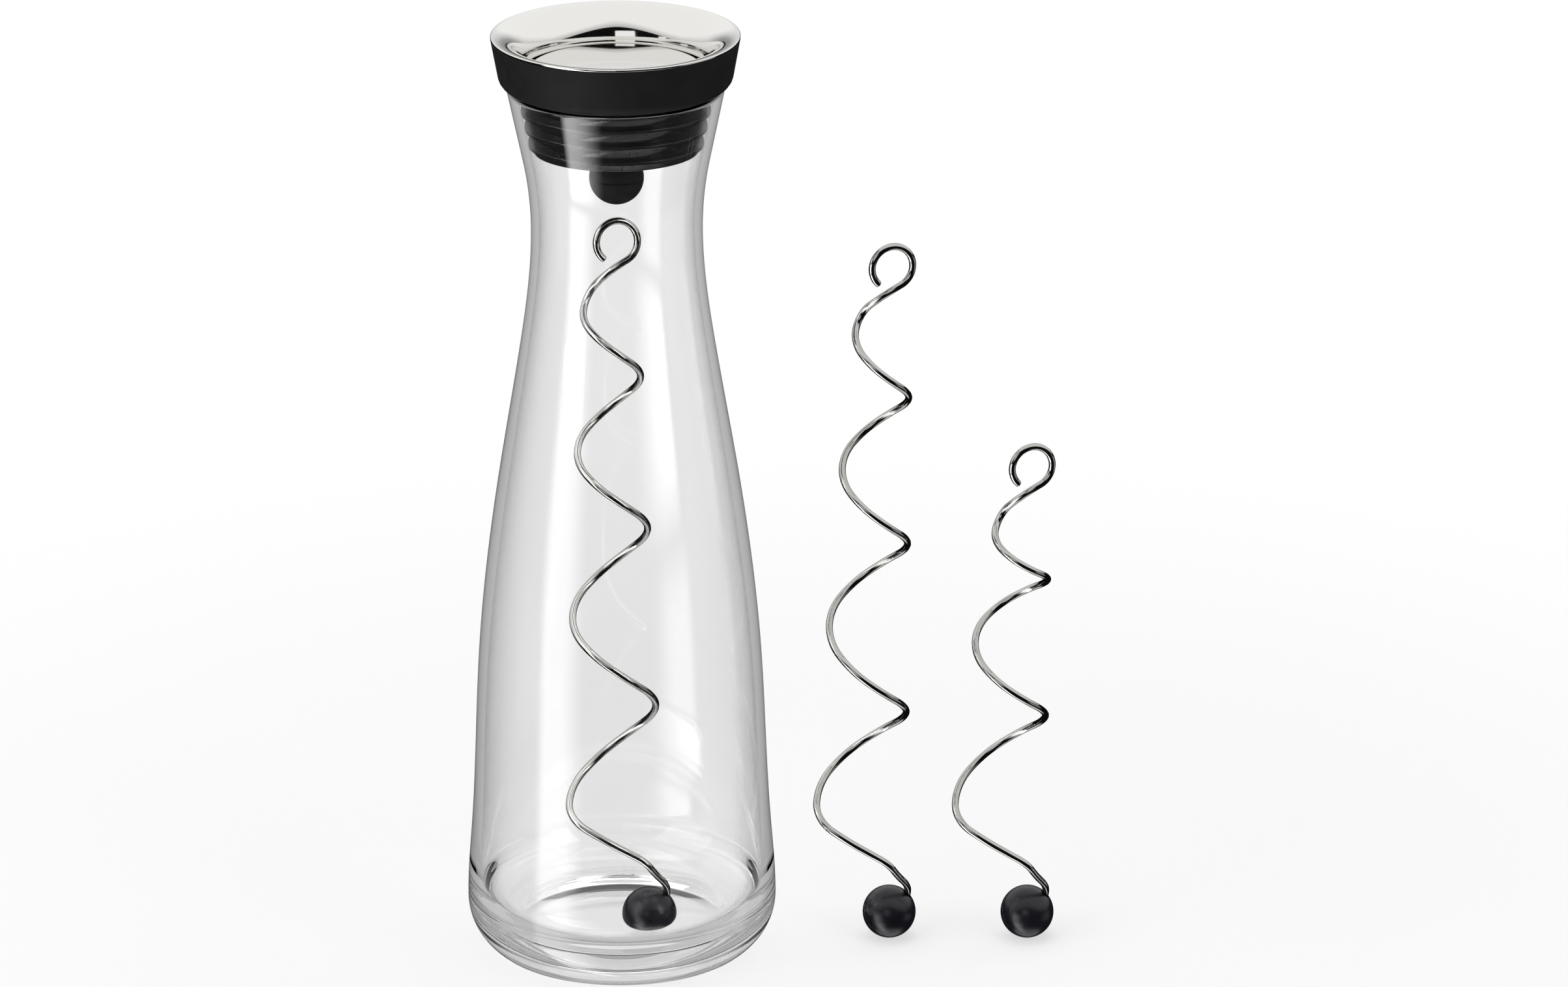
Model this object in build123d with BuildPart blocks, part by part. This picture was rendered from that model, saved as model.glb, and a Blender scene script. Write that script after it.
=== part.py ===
from build123d import *

import os
from math import asin, cos, degrees, dist, hypot, pi, radians, sin, sqrt, tan

# Fruit infuser pitcher: a glass carafe, a pouring closure whose plate tips open when the carafe is
# tilted, a spiral fruit skewer standing in the carafe and two spare skewers, a long one and a short
# one, standing beside it.
# Millimetres. The origin is the centre of the carafe's foot on the table, +Z is up and +X is the
# side that the plate opens on.

os.makedirs("parts", exist_ok=True)

# Glass carafe: radii of the outer face, and the rise from each station to the next, from the table up
foot_radius = 40.0
base_radius = 48.5
base_rise = 15.5
flank_radius = 47.0
flank_rise = 24.5
belly_radius = 44.1
belly_rise = 56.5
shoulder_radius = 37.3
shoulder_rise = 58.0
neck_radius = 30.0
neck_rise = 43.5
throat_radius = 26.3
throat_rise = 37.0
mouth_rise = 45.0
neck_curve = 108.0
mouth_flare = 11.8
base_wall = 3.8
body_wall = 3.0
neck_wall = 2.5
rim_round_share = 0.45
floor_thickness = 10.0
floor_corner = 14.0
foot_ring_width = 7.0
punt_depth = 3.0

# Ribbed seal: a silicone sleeve in the carafe's mouth, and the collar that rests over the glass
stopper_length = 19.0
seal_wall = 1.2
seal_top_rise = 1.0
lip_count = 4
lip_depth = 1.2
lip_land = 0.7
lip_undercut = 0.5
lip_lead = 1.8
lip_gap = 0.3
rim_gap = 0.3
collar_overhang = 1.9
collar_round = 3.4

# Valve cage: the tube inside the seal, with the plate's seat on top and a guide ring on spokes
cage_wall = 1.8
seat_thickness = 2.0
seat_width = 5.0
guide_depth = 14.0
guide_height = 3.0
guide_wall = 2.0
spoke_count = 4
spoke_width = 2.0

# Pouring funnel: a steel sheet bell that opens from its tube to the rim
sheet = 0.8
funnel_tube = 2.5
bell_reach = 10.6
bell_rise = 10.8
rim_round = 0.3

# Tipping valve: steel plate, its carrier and gasket, and the weight on a stem below them
plate_gap = 0.8
plate_rise = 2.9
plate_dome = 0.8
plate_round = 0.75
skirt_gap = 0.7
gasket_thickness = 1.2
gasket_inset = 0.9
boss_radius = 5.5
boss_length = 4.5
stem_radius = 2.0
stem_engagement = 3.0
nut_across_flats = 7.0
nut_height = 3.0
weight_radius = 8.4
weight_skin = 2.2
weight_tilt = 15.0
guide_clearance = 0.5
stop_gap = 1.2
fit_gap = 0.05

# Skewers: a round wire with an eye at the top and a spiral that widens down to a push-on ball
wire_radius = 1.1
wire_end_round = 0.35
eye_diameter = 15.5
eye_tip_angle = 230.0
eye_exit_angle = -65.0
eye_turn = 20.0
eye_arcs = 4
spiral_head_drop = 29.0
spiral_head_radius = 8.3
spiral_head_shift = -3.0
spiral_foot_height = 45.0
spiral_foot_radius = 14.0
spiral_foot_shift = -9.0
spiral_foot_pitch = 64.0
biarcs_per_turn = 4
ball_radius = 8.4
seam_depth = 0.3
seam_width = 0.6
seam_facing = (0.35, -0.76, 0.55)
bore_gap = 0.3
headroom = 3.0
floor_gap = 0.3
long_turns = 3
short_turns = 2
short_height = 165.0
inner_offset = 9.0
inner_forward = 26.0
long_place = 84.4
short_place = 128.0

# Tail of the wire below the spiral: two points that lead it over the ball, each with the wire's way
# there, and the point inside the ball where its straight end stops, in radii from the ball's centre
tail_over = (-0.98, -0.77, 2.78)
tail_over_way = (0.82, 0.17, -0.55)
tail_down = (0.15, -0.60, 1.90)
tail_down_way = (0.45, 0.39, -0.80)
tail_stop = (0.59, 0.37, 0.00)
tail_slope = (-0.11, 0.47, -0.88)
tail_straight = 7.7

# Heights of the carafe's stations
base_z = base_rise
flank_z = base_z + flank_rise
belly_z = flank_z + belly_rise
shoulder_z = belly_z + shoulder_rise
neck_z = shoulder_z + neck_rise
throat_z = neck_z + throat_rise
mouth_z = throat_z + mouth_rise

# The mouth: an arc that opens from the throat, then a straight cone
flare_rise = neck_curve * sin(radians(mouth_flare))
flare_spread = neck_curve * (1 - cos(radians(mouth_flare)))


def mouth_radius(height):
    """Outer radius of the glass at a height above its throat."""
    rise = height - throat_z
    if rise < flare_rise:
        return throat_radius + neck_curve - sqrt(neck_curve**2 - rise**2)
    return throat_radius + flare_spread + (rise - flare_rise) * tan(radians(mouth_flare))


def bore_radius(height):
    """Inner radius of the glass at a height above its throat."""
    return mouth_radius(height) - neck_wall


# Closure heights and radii, each worked out from what it seats on
stopper_z = mouth_z - stopper_length
seal_top_z = mouth_z + seal_top_rise
seat_z = seal_top_z + seat_thickness
bell_z = seat_z + funnel_tube
rim_z = bell_z + bell_rise
collar_z = mouth_z + rim_gap
cage_radius = bore_radius(stopper_z) - lip_gap - lip_depth - seal_wall
passage_radius = cage_radius - cage_wall
funnel_radius = passage_radius + seat_width
tube_radius = funnel_radius + sheet
rim_radius = funnel_radius + bell_reach
collar_foot_radius = mouth_radius(mouth_z) + collar_overhang
collar_bore = tube_radius + fit_gap
collar_top_z = rim_z - sheet - fit_gap

# Lips of the seal, from the top one just under the glass rim to the lowest one
top_lip_z = mouth_z - lip_land
low_lip_z = stopper_z + lip_lead + lip_land
lip_pitch = (top_lip_z - low_lip_z) / (lip_count - 1)


def lip_radius(height):
    """Radius of a lip whose lower edge is at a height in the glass mouth."""
    return bore_radius(height) - lip_gap


seal_top_radius = lip_radius(top_lip_z)

# The valve rocks on the rim of its gasket: the swing of its stem sets the guide ring's bore, and the
# weight hangs so low that it just clears the guide ring at full tilt
plate_radius = funnel_radius - plate_gap
gasket_radius = plate_radius - sheet
tilt = radians(weight_tilt)
stem_at_guide = (gasket_radius * sin(tilt) + guide_depth) / cos(tilt)
stem_swing = gasket_radius * cos(tilt) + stem_at_guide * sin(tilt) - gasket_radius
guide_radius = stem_swing + stem_radius / cos(tilt) + guide_clearance
weight_depth = (gasket_radius * sin(tilt) + guide_depth + weight_radius + stop_gap) / cos(tilt)
weight_z = seat_z - weight_depth
guide_z = seat_z - guide_depth
gasket_top_z = seat_z + gasket_thickness
plate_edge_z = seat_z + plate_rise
plate_top_z = plate_edge_z + plate_dome
boss_z = gasket_top_z - boss_length
nut_z = boss_z - nut_height

# Glass carafe, turned about Z from its section
with BuildPart() as glass_carafe:
    with BuildSketch(Plane.XZ) as carafe_section:
        with BuildLine():
            Line((0, punt_depth), (0, floor_thickness))
            inner_base = base_radius - base_wall
            floor_edge = Line((0, floor_thickness), (inner_base - floor_corner, floor_thickness))
            corner = TangentArc(
                floor_edge @ 1, (inner_base, floor_thickness + floor_corner), tangent=(1, 0)
            )
            inner_side = Spline(
                corner @ 1,
                (flank_radius - body_wall, flank_z),
                (belly_radius - body_wall, belly_z),
                (shoulder_radius - body_wall, shoulder_z),
                (neck_radius - neck_wall, neck_z),
                (throat_radius - neck_wall, throat_z),
                tangents=((0, 1), (0, 1)),
            )
            inner_flare = TangentArc(
                inner_side @ 1,
                (bore_radius(throat_z + flare_rise), throat_z + flare_rise),
                tangent=(0, 1),
            )
            inner_cone = Line(inner_flare @ 1, (bore_radius(mouth_z), mouth_z))
            rim = Line(inner_cone @ 1, (mouth_radius(mouth_z), mouth_z))
            cone = Line(rim @ 1, (mouth_radius(throat_z + flare_rise), throat_z + flare_rise))
            TangentArc((throat_radius, throat_z), cone @ 1, tangent=(0, 1))
            side = Spline(
                (base_radius, base_z),
                (flank_radius, flank_z),
                (belly_radius, belly_z),
                (shoulder_radius, shoulder_z),
                (neck_radius, neck_z),
                (throat_radius, throat_z),
                tangents=((0, 1), (0, 1)),
            )
            foot = TangentArc((base_radius, base_z), (foot_radius, 0), tangent=(0, -1))
            ring = Line(foot @ 1, (foot_radius - foot_ring_width, 0))
            TangentArc((0, punt_depth), ring @ 1, tangent=(1, 0))
        make_face()
        fillet(carafe_section.vertices().group_by(Axis.Y)[-1], rim_round_share * neck_wall)
    revolve(axis=Axis.Z)
glass_carafe.part.label = "glass_carafe"
export_step(glass_carafe.part, "parts/glass_carafe.step")

# Ribbed seal: a sleeve on the cage's tube, with lips that follow the flare of the mouth
lip_outline = []
for lip in range(lip_count):
    lip_z = top_lip_z - lip * lip_pitch
    lip_edge = lip_radius(lip_z)
    if lip > 0:
        lip_outline.append((lip_edge - lip_depth, lip_z + lip_land + lip_undercut))
        lip_outline.append((lip_edge, lip_z + lip_land))
    lip_outline.append((lip_edge, lip_z))
    lip_outline.append((lip_radius(lip_z - lip_lead) - lip_depth, lip_z - lip_lead))

with BuildPart() as rib_seal:
    with BuildSketch(Plane.XZ):
        with BuildLine():
            Polyline(
                (cage_radius, seal_top_z),
                (seal_top_radius, seal_top_z),
                *lip_outline,
                (cage_radius + seal_wall, stopper_z),
                (cage_radius, stopper_z),
                close=True,
            )
        make_face()
    revolve(axis=Axis.Z)
rib_seal.part.label = "rib_seal"
export_step(rib_seal.part, "parts/rib_seal.step")

# Collar: a soft ring that fills the space under the bell and rests over the glass rim
with BuildPart() as collar_ring:
    with BuildSketch(Plane.XZ) as collar_section:
        with BuildLine():
            Line((collar_bore, seal_top_z), (collar_bore, bell_z))
            EllipticalCenterArc(
                (rim_radius, bell_z),
                rim_radius - collar_bore,
                collar_top_z - bell_z,
                start_angle=90,
                arc_size=90,
            )
            Polyline(
                (rim_radius, collar_top_z),
                (collar_foot_radius, collar_z),
                (seal_top_radius, collar_z),
                (seal_top_radius, seal_top_z),
                (collar_bore, seal_top_z),
            )
        make_face()
        fillet(collar_section.vertices().group_by(Axis.Y)[0].sort_by(Axis.X)[-1], collar_round)
    revolve(axis=Axis.Z)
collar_ring.part.label = "collar_ring"
export_step(collar_ring.part, "parts/collar_ring.step")

# Valve cage: tube, seat flange, and a guide ring for the stem on spokes
with BuildPart() as valve_cage:
    with BuildSketch(Plane.XZ):
        with BuildLine():
            Polyline(
                (passage_radius, stopper_z),
                (passage_radius, seat_z),
                (tube_radius, seat_z),
                (tube_radius, seal_top_z),
                (cage_radius, seal_top_z),
                (cage_radius, stopper_z),
                close=True,
            )
        make_face()
    revolve(axis=Axis.Z)
    with BuildSketch(Plane.XY.offset(guide_z)):
        spoke_start = guide_radius + guide_wall / 2
        spoke_end = passage_radius + cage_wall / 2
        with PolarLocations((spoke_start + spoke_end) / 2, spoke_count, start_angle=180 / spoke_count):
            Rectangle(spoke_end - spoke_start, spoke_width)
        Circle(guide_radius + guide_wall)
        Circle(guide_radius, mode=Mode.SUBTRACT)
    extrude(amount=guide_height)
valve_cage.part.label = "valve_cage"
export_step(valve_cage.part, "parts/valve_cage.step")

# Pouring funnel: steel sheet, a short tube on the seat that opens into a bell
with BuildPart() as pouring_funnel:
    with BuildSketch(Plane.XZ) as funnel_section:
        with BuildLine():
            Line((funnel_radius, bell_z), (funnel_radius, seat_z))
            Line((funnel_radius, seat_z), (tube_radius, seat_z))
            Line((tube_radius, seat_z), (tube_radius, bell_z))
            EllipticalCenterArc(
                (rim_radius, bell_z), bell_reach, bell_rise, start_angle=90, arc_size=90
            )
            EllipticalCenterArc(
                (rim_radius, bell_z),
                bell_reach - sheet,
                bell_rise - sheet,
                start_angle=90,
                arc_size=90,
            )
            Line((rim_radius, rim_z - sheet), (rim_radius, rim_z))
        make_face()
        fillet(funnel_section.vertices().group_by(Axis.X)[-1], rim_round)
    revolve(axis=Axis.Z)
pouring_funnel.part.label = "pouring_funnel"
export_step(pouring_funnel.part, "parts/pouring_funnel.step")

# Closing plate: a shallow steel cap with a domed top and a turned-down skirt
with BuildPart() as closing_plate:
    with BuildSketch(Plane.XZ) as plate_section:
        with BuildLine():
            dome = TangentArc((0, plate_top_z), (plate_radius, plate_edge_z), tangent=(1, 0))
            Line(dome @ 1, (plate_radius, seat_z + skirt_gap))
            skirt = Line((plate_radius, seat_z + skirt_gap), (gasket_radius, seat_z + skirt_gap))
            Line(skirt @ 1, (gasket_radius, plate_edge_z - sheet))
            TangentArc((0, plate_top_z - sheet), (gasket_radius, plate_edge_z - sheet), tangent=(1, 0))
            Line((0, plate_top_z - sheet), (0, plate_top_z))
        make_face()
        fillet(plate_section.vertices().group_by(Axis.X)[-1].sort_by(Axis.Y)[-1], plate_round)
    revolve(axis=Axis.Z)
closing_plate.part.label = "closing_plate"
export_step(closing_plate.part, "parts/closing_plate.step")

# Plate carrier: the moulded disc inside the cap, with a boss that takes the stem
with BuildPart() as plate_carrier:
    with BuildSketch(Plane.XZ):
        with BuildLine():
            TangentArc((0, plate_top_z - sheet), (gasket_radius, plate_edge_z - sheet), tangent=(1, 0))
            Polyline(
                (gasket_radius, plate_edge_z - sheet),
                (gasket_radius, gasket_top_z),
                (boss_radius, gasket_top_z),
                (boss_radius, boss_z),
                (stem_radius + fit_gap, boss_z),
                (stem_radius + fit_gap, gasket_top_z),
                (0, gasket_top_z),
                (0, plate_top_z - sheet),
            )
        make_face()
    revolve(axis=Axis.Z)
plate_carrier.part.label = "plate_carrier"
export_step(plate_carrier.part, "parts/plate_carrier.step")

# Plate gasket: a flat silicone ring that closes on the seat
with BuildPart() as plate_gasket:
    with BuildSketch(Plane.XY.offset(seat_z)):
        Circle(gasket_radius)
        Circle(passage_radius - gasket_inset, mode=Mode.SUBTRACT)
    extrude(amount=gasket_thickness)
plate_gasket.part.label = "plate_gasket"
export_step(plate_gasket.part, "parts/plate_gasket.step")

# Stem: a steel rod from the carrier's boss into the weight
with BuildPart() as valve_stem:
    with BuildSketch(Plane.XY.offset(weight_z - stem_engagement)):
        Circle(stem_radius)
    extrude(amount=gasket_top_z - weight_z + stem_engagement)
valve_stem.part.label = "valve_stem"
export_step(valve_stem.part, "parts/valve_stem.step")

# Lock nut under the boss
with BuildPart() as stem_nut:
    with BuildSketch(Plane.XY.offset(nut_z)):
        RegularPolygon(nut_across_flats / 2, 6, major_radius=False)
        Circle(stem_radius + fit_gap, mode=Mode.SUBTRACT)
    extrude(amount=nut_height)
stem_nut.part.label = "stem_nut"
export_step(stem_nut.part, "parts/stem_nut.step")

# Weight: a steel ball on the stem's end, inside a moulded skin
core_radius = weight_radius - weight_skin
with BuildPart() as weight_core:
    with Locations((0, 0, weight_z)):
        Sphere(core_radius)
    with BuildSketch(Plane.XY.offset(weight_z - stem_engagement)):
        Circle(stem_radius + fit_gap)
    extrude(amount=stem_engagement + weight_radius, mode=Mode.SUBTRACT)
weight_core.part.label = "weight_core"
export_step(weight_core.part, "parts/weight_core.step")

with BuildPart() as weight_skin_ball:
    with Locations((0, 0, weight_z)):
        Sphere(weight_radius)
        Sphere(core_radius + fit_gap, mode=Mode.SUBTRACT)
    with BuildSketch(Plane.XY.offset(weight_z)):
        Circle(stem_radius + fit_gap)
    extrude(amount=weight_radius + weight_skin, mode=Mode.SUBTRACT)
weight_skin_ball.part.label = "weight_cover"
export_step(weight_skin_ball.part, "parts/weight_cover.step")


def spiral_point(skewer, turn):
    """Point of the spiral, in the skewer's own frame, so many turns up from its lowest left side."""
    share = turn / skewer["turns"]
    radius = spiral_foot_radius + (spiral_head_radius - spiral_foot_radius) * share
    centre = spiral_foot_shift + (spiral_head_shift - spiral_foot_shift) * share
    foot = spiral_foot_height - ball_radius
    head = skewer["height"] - spiral_head_drop - ball_radius
    tightening = (foot + spiral_foot_pitch * skewer["turns"] - head) / skewer["turns"] ** 2
    angle = 2 * pi * turn
    return Vector(
        centre - radius * cos(angle),
        radius * sin(angle),
        foot + spiral_foot_pitch * turn - tightening * turn**2,
    )


def spiral_direction(skewer, turn):
    """Direction of the wire on its way down the spiral."""
    step = 0.001
    return (spiral_point(skewer, turn - step) - spiral_point(skewer, turn + step)).normalized()


def eye_point(skewer, angle):
    """Point of the eye's centre line at an angle from its right side."""
    eye_radius = eye_diameter / 2 - wire_radius
    across = eye_radius * cos(radians(angle))
    height = skewer["height"] - ball_radius - eye_diameter / 2
    return Vector(
        across * cos(radians(eye_turn)),
        across * sin(radians(eye_turn)),
        height + eye_radius * sin(radians(angle)),
    )


def eye_direction(angle):
    """Direction of the wire on its way round the eye, over the top and down its right side."""
    across = sin(radians(angle))
    return Vector(across * cos(radians(eye_turn)), across * sin(radians(eye_turn)), -cos(radians(angle)))


def biarc_joint(start, start_way, end, end_way):
    """Point and direction where two tangent arcs meet between two points with given directions."""
    span = end - start
    ways = start_way + end_way
    bend = 2 * (1 - start_way.dot(end_way))
    reach = (sqrt(span.dot(ways) ** 2 + bend * span.dot(span)) - span.dot(ways)) / bend
    before = start + start_way * reach
    after = end - end_way * reach
    return (before + after) * 0.5, (after - before).normalized()


def wire_stations(skewer):
    """Points and directions along a skewer's wire, from the eye's free end to its end in the ball."""
    stations = []
    for arc in range(eye_arcs + 1):
        angle = eye_tip_angle + (eye_exit_angle - eye_tip_angle) * arc / eye_arcs
        stations.append((eye_point(skewer, angle), eye_direction(angle)))
    for quarter in range(skewer["turns"] * biarcs_per_turn + 1):
        turn = skewer["turns"] - quarter / biarcs_per_turn
        stations.append((spiral_point(skewer, turn), spiral_direction(skewer, turn)))
    for point, way in ((tail_over, tail_over_way), (tail_down, tail_down_way)):
        stations.append((Vector(*point) * ball_radius, Vector(*way).normalized()))
    stop = Vector(*tail_stop) * ball_radius
    tail = Vector(*tail_slope).normalized()
    stations.append((stop - tail * tail_straight, tail))
    stations.append((stop, tail))
    return stations


def least_gap(path):
    """Least free gap between stretches of a wire that lie at least an eye's width apart along it."""
    steps = 600
    length = path.length
    points = [tuple(path @ (step / steps)) for step in range(steps + 1)]
    apart = round(steps * eye_diameter / length)
    nearest = min(
        dist(points[first], points[second])
        for first in range(steps + 1)
        for second in range(first + apart, steps + 1)
    )
    return nearest - 2 * wire_radius


# Where each skewer stands: the plane's origin is its ball's centre and its normal runs up the spiral.
# The one inside stands towards the front, leans until its eye hangs on the carafe's axis and ends just
# under the weight, and the long spare is as long.
seam_axis = Vector(*seam_facing).normalized()
seam_angle = degrees(asin(seam_width / 2 / ball_radius))
floor_z = floor_thickness + floor_gap
long_height = weight_z - weight_radius - headroom - floor_z
eye_centre = long_height - ball_radius - eye_diameter / 2
inner_rise = sqrt(eye_centre**2 - hypot(inner_offset, inner_forward) ** 2)
skewers = {
    "inner_skewer": {
        "stand": Plane(
            origin=(inner_offset, -inner_forward, floor_z + ball_radius),
            x_dir=(inner_rise, 0, inner_offset),
            z_dir=(-inner_offset, inner_forward, inner_rise),
        ),
        "height": long_height,
        "turns": long_turns,
    },
    "long_skewer": {
        "stand": Plane(origin=(long_place, 0, ball_radius)),
        "height": long_height,
        "turns": long_turns,
    },
    "short_skewer": {
        "stand": Plane(origin=(short_place, 0, ball_radius)),
        "height": short_height,
        "turns": short_turns,
    },
}

for name, skewer in skewers.items():
    stand = skewer["stand"]
    centre = stand.origin
    placed = []
    for point, way in wire_stations(skewer):
        place = stand.from_local_coords(point)
        placed.append((place, (stand.from_local_coords(point + way) - place).normalized()))
    stop, tail = placed.pop()

    # Wire: one round rod swept along the eye, the spiral and the straight tail that enters the ball
    with BuildPart() as skewer_wire:
        with BuildLine() as path:
            for (start, start_way), (end, end_way) in zip(placed, placed[1:]):
                joint, joint_way = biarc_joint(start, start_way, end, end_way)
                TangentArc(start, joint, tangent=start_way)
                TangentArc(joint, end, tangent=joint_way)
            Line(placed[-1][0], stop)
        with BuildSketch(Plane(origin=placed[0][0], z_dir=placed[0][1])):
            Circle(wire_radius)
        route = path.wire()
        sweep(path=route)
        free_end = skewer_wire.faces().filter_by(GeomType.PLANE).sort_by_distance(placed[0][0])[0]
        fillet(free_end.edges(), wire_end_round)
    skewer_wire.part.label = f"{name}_wire"
    export_step(skewer_wire.part, f"parts/{name}_wire.step")
    swept = pi * wire_radius**2 * route.length
    print(f"{name}: wire {route.length:.1f} mm long, volume over section times length", end=" ")
    print(f"{skewer_wire.part.volume / swept:.4f}, least gap to itself {least_gap(route):.2f} mm")

    # Ball: a push-on stop with a blind bore along the wire's tail and a shallow moulding seam
    with BuildPart() as skewer_ball:
        across = seam_axis.cross(Vector(0, 0, 1))
        with BuildSketch(Plane(origin=centre, x_dir=across, z_dir=across.cross(seam_axis))):
            with BuildLine():
                lower_half = CenterArc((0, 0), ball_radius, -90, 90 - seam_angle)
                upper_half = CenterArc((0, 0), ball_radius, seam_angle, 90 - seam_angle)
                Polyline(lower_half @ 1, (ball_radius - seam_depth, 0), upper_half @ 0)
                Line(upper_half @ 1, lower_half @ 0)
            make_face()
        revolve(axis=Axis(centre, seam_axis))
        with BuildSketch(Plane(origin=stop + tail * bore_gap, z_dir=-tail)):
            Circle(wire_radius + fit_gap)
        extrude(amount=bore_gap + 2 * ball_radius, mode=Mode.SUBTRACT)
    skewer_ball.part.label = f"{name}_ball"
    export_step(skewer_ball.part, f"parts/{name}_ball.step")
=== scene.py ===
from math import cos, pi, radians, sin, sqrt, tan

import bmesh
import bpy
from bpy.props import FloatProperty, FloatVectorProperty, IntProperty, PointerProperty
from bpy.types import Operator, Panel, PropertyGroup
from mathutils import Matrix, Vector


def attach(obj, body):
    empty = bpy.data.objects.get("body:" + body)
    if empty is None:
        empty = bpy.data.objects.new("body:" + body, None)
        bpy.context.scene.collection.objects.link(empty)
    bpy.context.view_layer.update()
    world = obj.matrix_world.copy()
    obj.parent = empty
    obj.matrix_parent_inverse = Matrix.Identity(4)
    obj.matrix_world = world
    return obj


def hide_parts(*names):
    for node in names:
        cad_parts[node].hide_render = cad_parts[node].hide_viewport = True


bl_info = {
    "name": "Fruit infuser pitcher",
    "version": (1, 0, 0),
    "blender": (4, 5, 0),
    "location": "3D View > Sidebar > Infuser",
    "description": "Glass carafe with a tipping pouring closure and spiral fruit skewers",
    "category": "Object",
}

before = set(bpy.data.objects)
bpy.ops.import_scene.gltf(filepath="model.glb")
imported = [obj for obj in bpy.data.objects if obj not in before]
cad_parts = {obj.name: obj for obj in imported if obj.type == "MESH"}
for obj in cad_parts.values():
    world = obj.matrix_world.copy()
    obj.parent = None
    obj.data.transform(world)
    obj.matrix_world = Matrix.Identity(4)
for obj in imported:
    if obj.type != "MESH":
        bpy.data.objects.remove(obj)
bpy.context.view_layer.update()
MM = 0.001
UP = Vector((0, 0, 1))
DOWN = Vector((0, 0, -1))
OUT = Vector((1, 0, 0))
INWARD = Vector((-1, 0, 0))
WHITE = (1, 1, 1, 1)

# Steps round a whole turn: of mirrors and clear glass, other pieces in sight, hidden pieces and small ones.
MIRROR_STEPS = 192
ROUND_STEPS = 160
HIDDEN_STEPS = 128
SMALL_STEPS = 96
# Distance within which two points are one, on a drawn line and on a turned piece.
LINE_WELD = 1e-7
WELD = 1e-6
# Bends past which an edge stays sharp, and under which an arc is drawn as a line.
SHARP_BEND = radians(35)
SLIGHT_BEND = 0.01
# Numbers of reflections past which light counts as mirrored, as led along in the glass and as caught in it.
MIRRORED_AFTER = 0.5
LED_AFTER = 2.5
CAUGHT_AFTER = 4.5
# Lights that mirrors show: name, brightness, bearings in degrees from the camera's side with the softness of
# the left and the right edge, and heights with the softness of the lower and the upper edge.
MIRRORED_LIGHTS = (
    ("low_left", 4.0, (-68, -14, 6, 42), (-1.1, -0.5, 0.1, 0.08)),
    ("left", 2.6, (-72, -26, 10, 24), (-0.54, 0.06, 0.08, 0.06)),
    ("right", 0.4, (60, 110, 12, 8), (-0.5, -0.04, 0.1, 0.04)),
    ("window", 1.0, (-24, 2, 1, 1), (0.08, 0.435, 0.01, 0.01)),
    ("small_window", 0.9, (-66, -54, 1, 1), (0.0, 0.22, 0.01, 0.01)),
    ("below", 0.9, (-190, 190, 1, 1), (-1.1, -0.84, 0.05, 0.06)),
)


def linear(code):
    """Linear RGBA of an sRGB hex colour."""
    tones = []
    for place in (1, 3, 5):
        tone = int(code[place : place + 2], 16) / 255
        tones.append(tone / 12.92 if tone <= 0.04045 else ((tone + 0.055) / 1.055) ** 2.4)
    return (*tones, 1.0)


def length(name, description, default):
    """Property for a size that the user gives in the scene's units of length."""
    return FloatProperty(name=name, description=description, default=default, unit="LENGTH", precision=5)


def angle(name, description, degrees):
    """Property for an angle, stored in radians."""
    return FloatProperty(name=name, description=description, default=radians(degrees), subtype="ANGLE")


def count(name, description, default):
    """Property for a number of like things."""
    return IntProperty(name=name, description=description, default=default, min=2, max=8)


def factor(name, description, default):
    """Property for a share, a brightness, or a height of which the zenith is 1."""
    return FloatProperty(name=name, description=description, default=default)


def power(name, description, watts):
    """Property for the power of a lamp."""
    return FloatProperty(name=name, description=description, default=watts, unit="POWER")


def shares(name, description, default):
    """Property for a direction, or for a place in multiples of a radius."""
    return FloatVectorProperty(name=name, description=description, default=default, subtype="XYZ")


def colour(name, description, code):
    """Property for a colour that is written as an sRGB hex value."""
    return FloatVectorProperty(
        name=name, description=description, default=linear(code), size=4, min=0, max=1, subtype="COLOR"
    )


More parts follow.
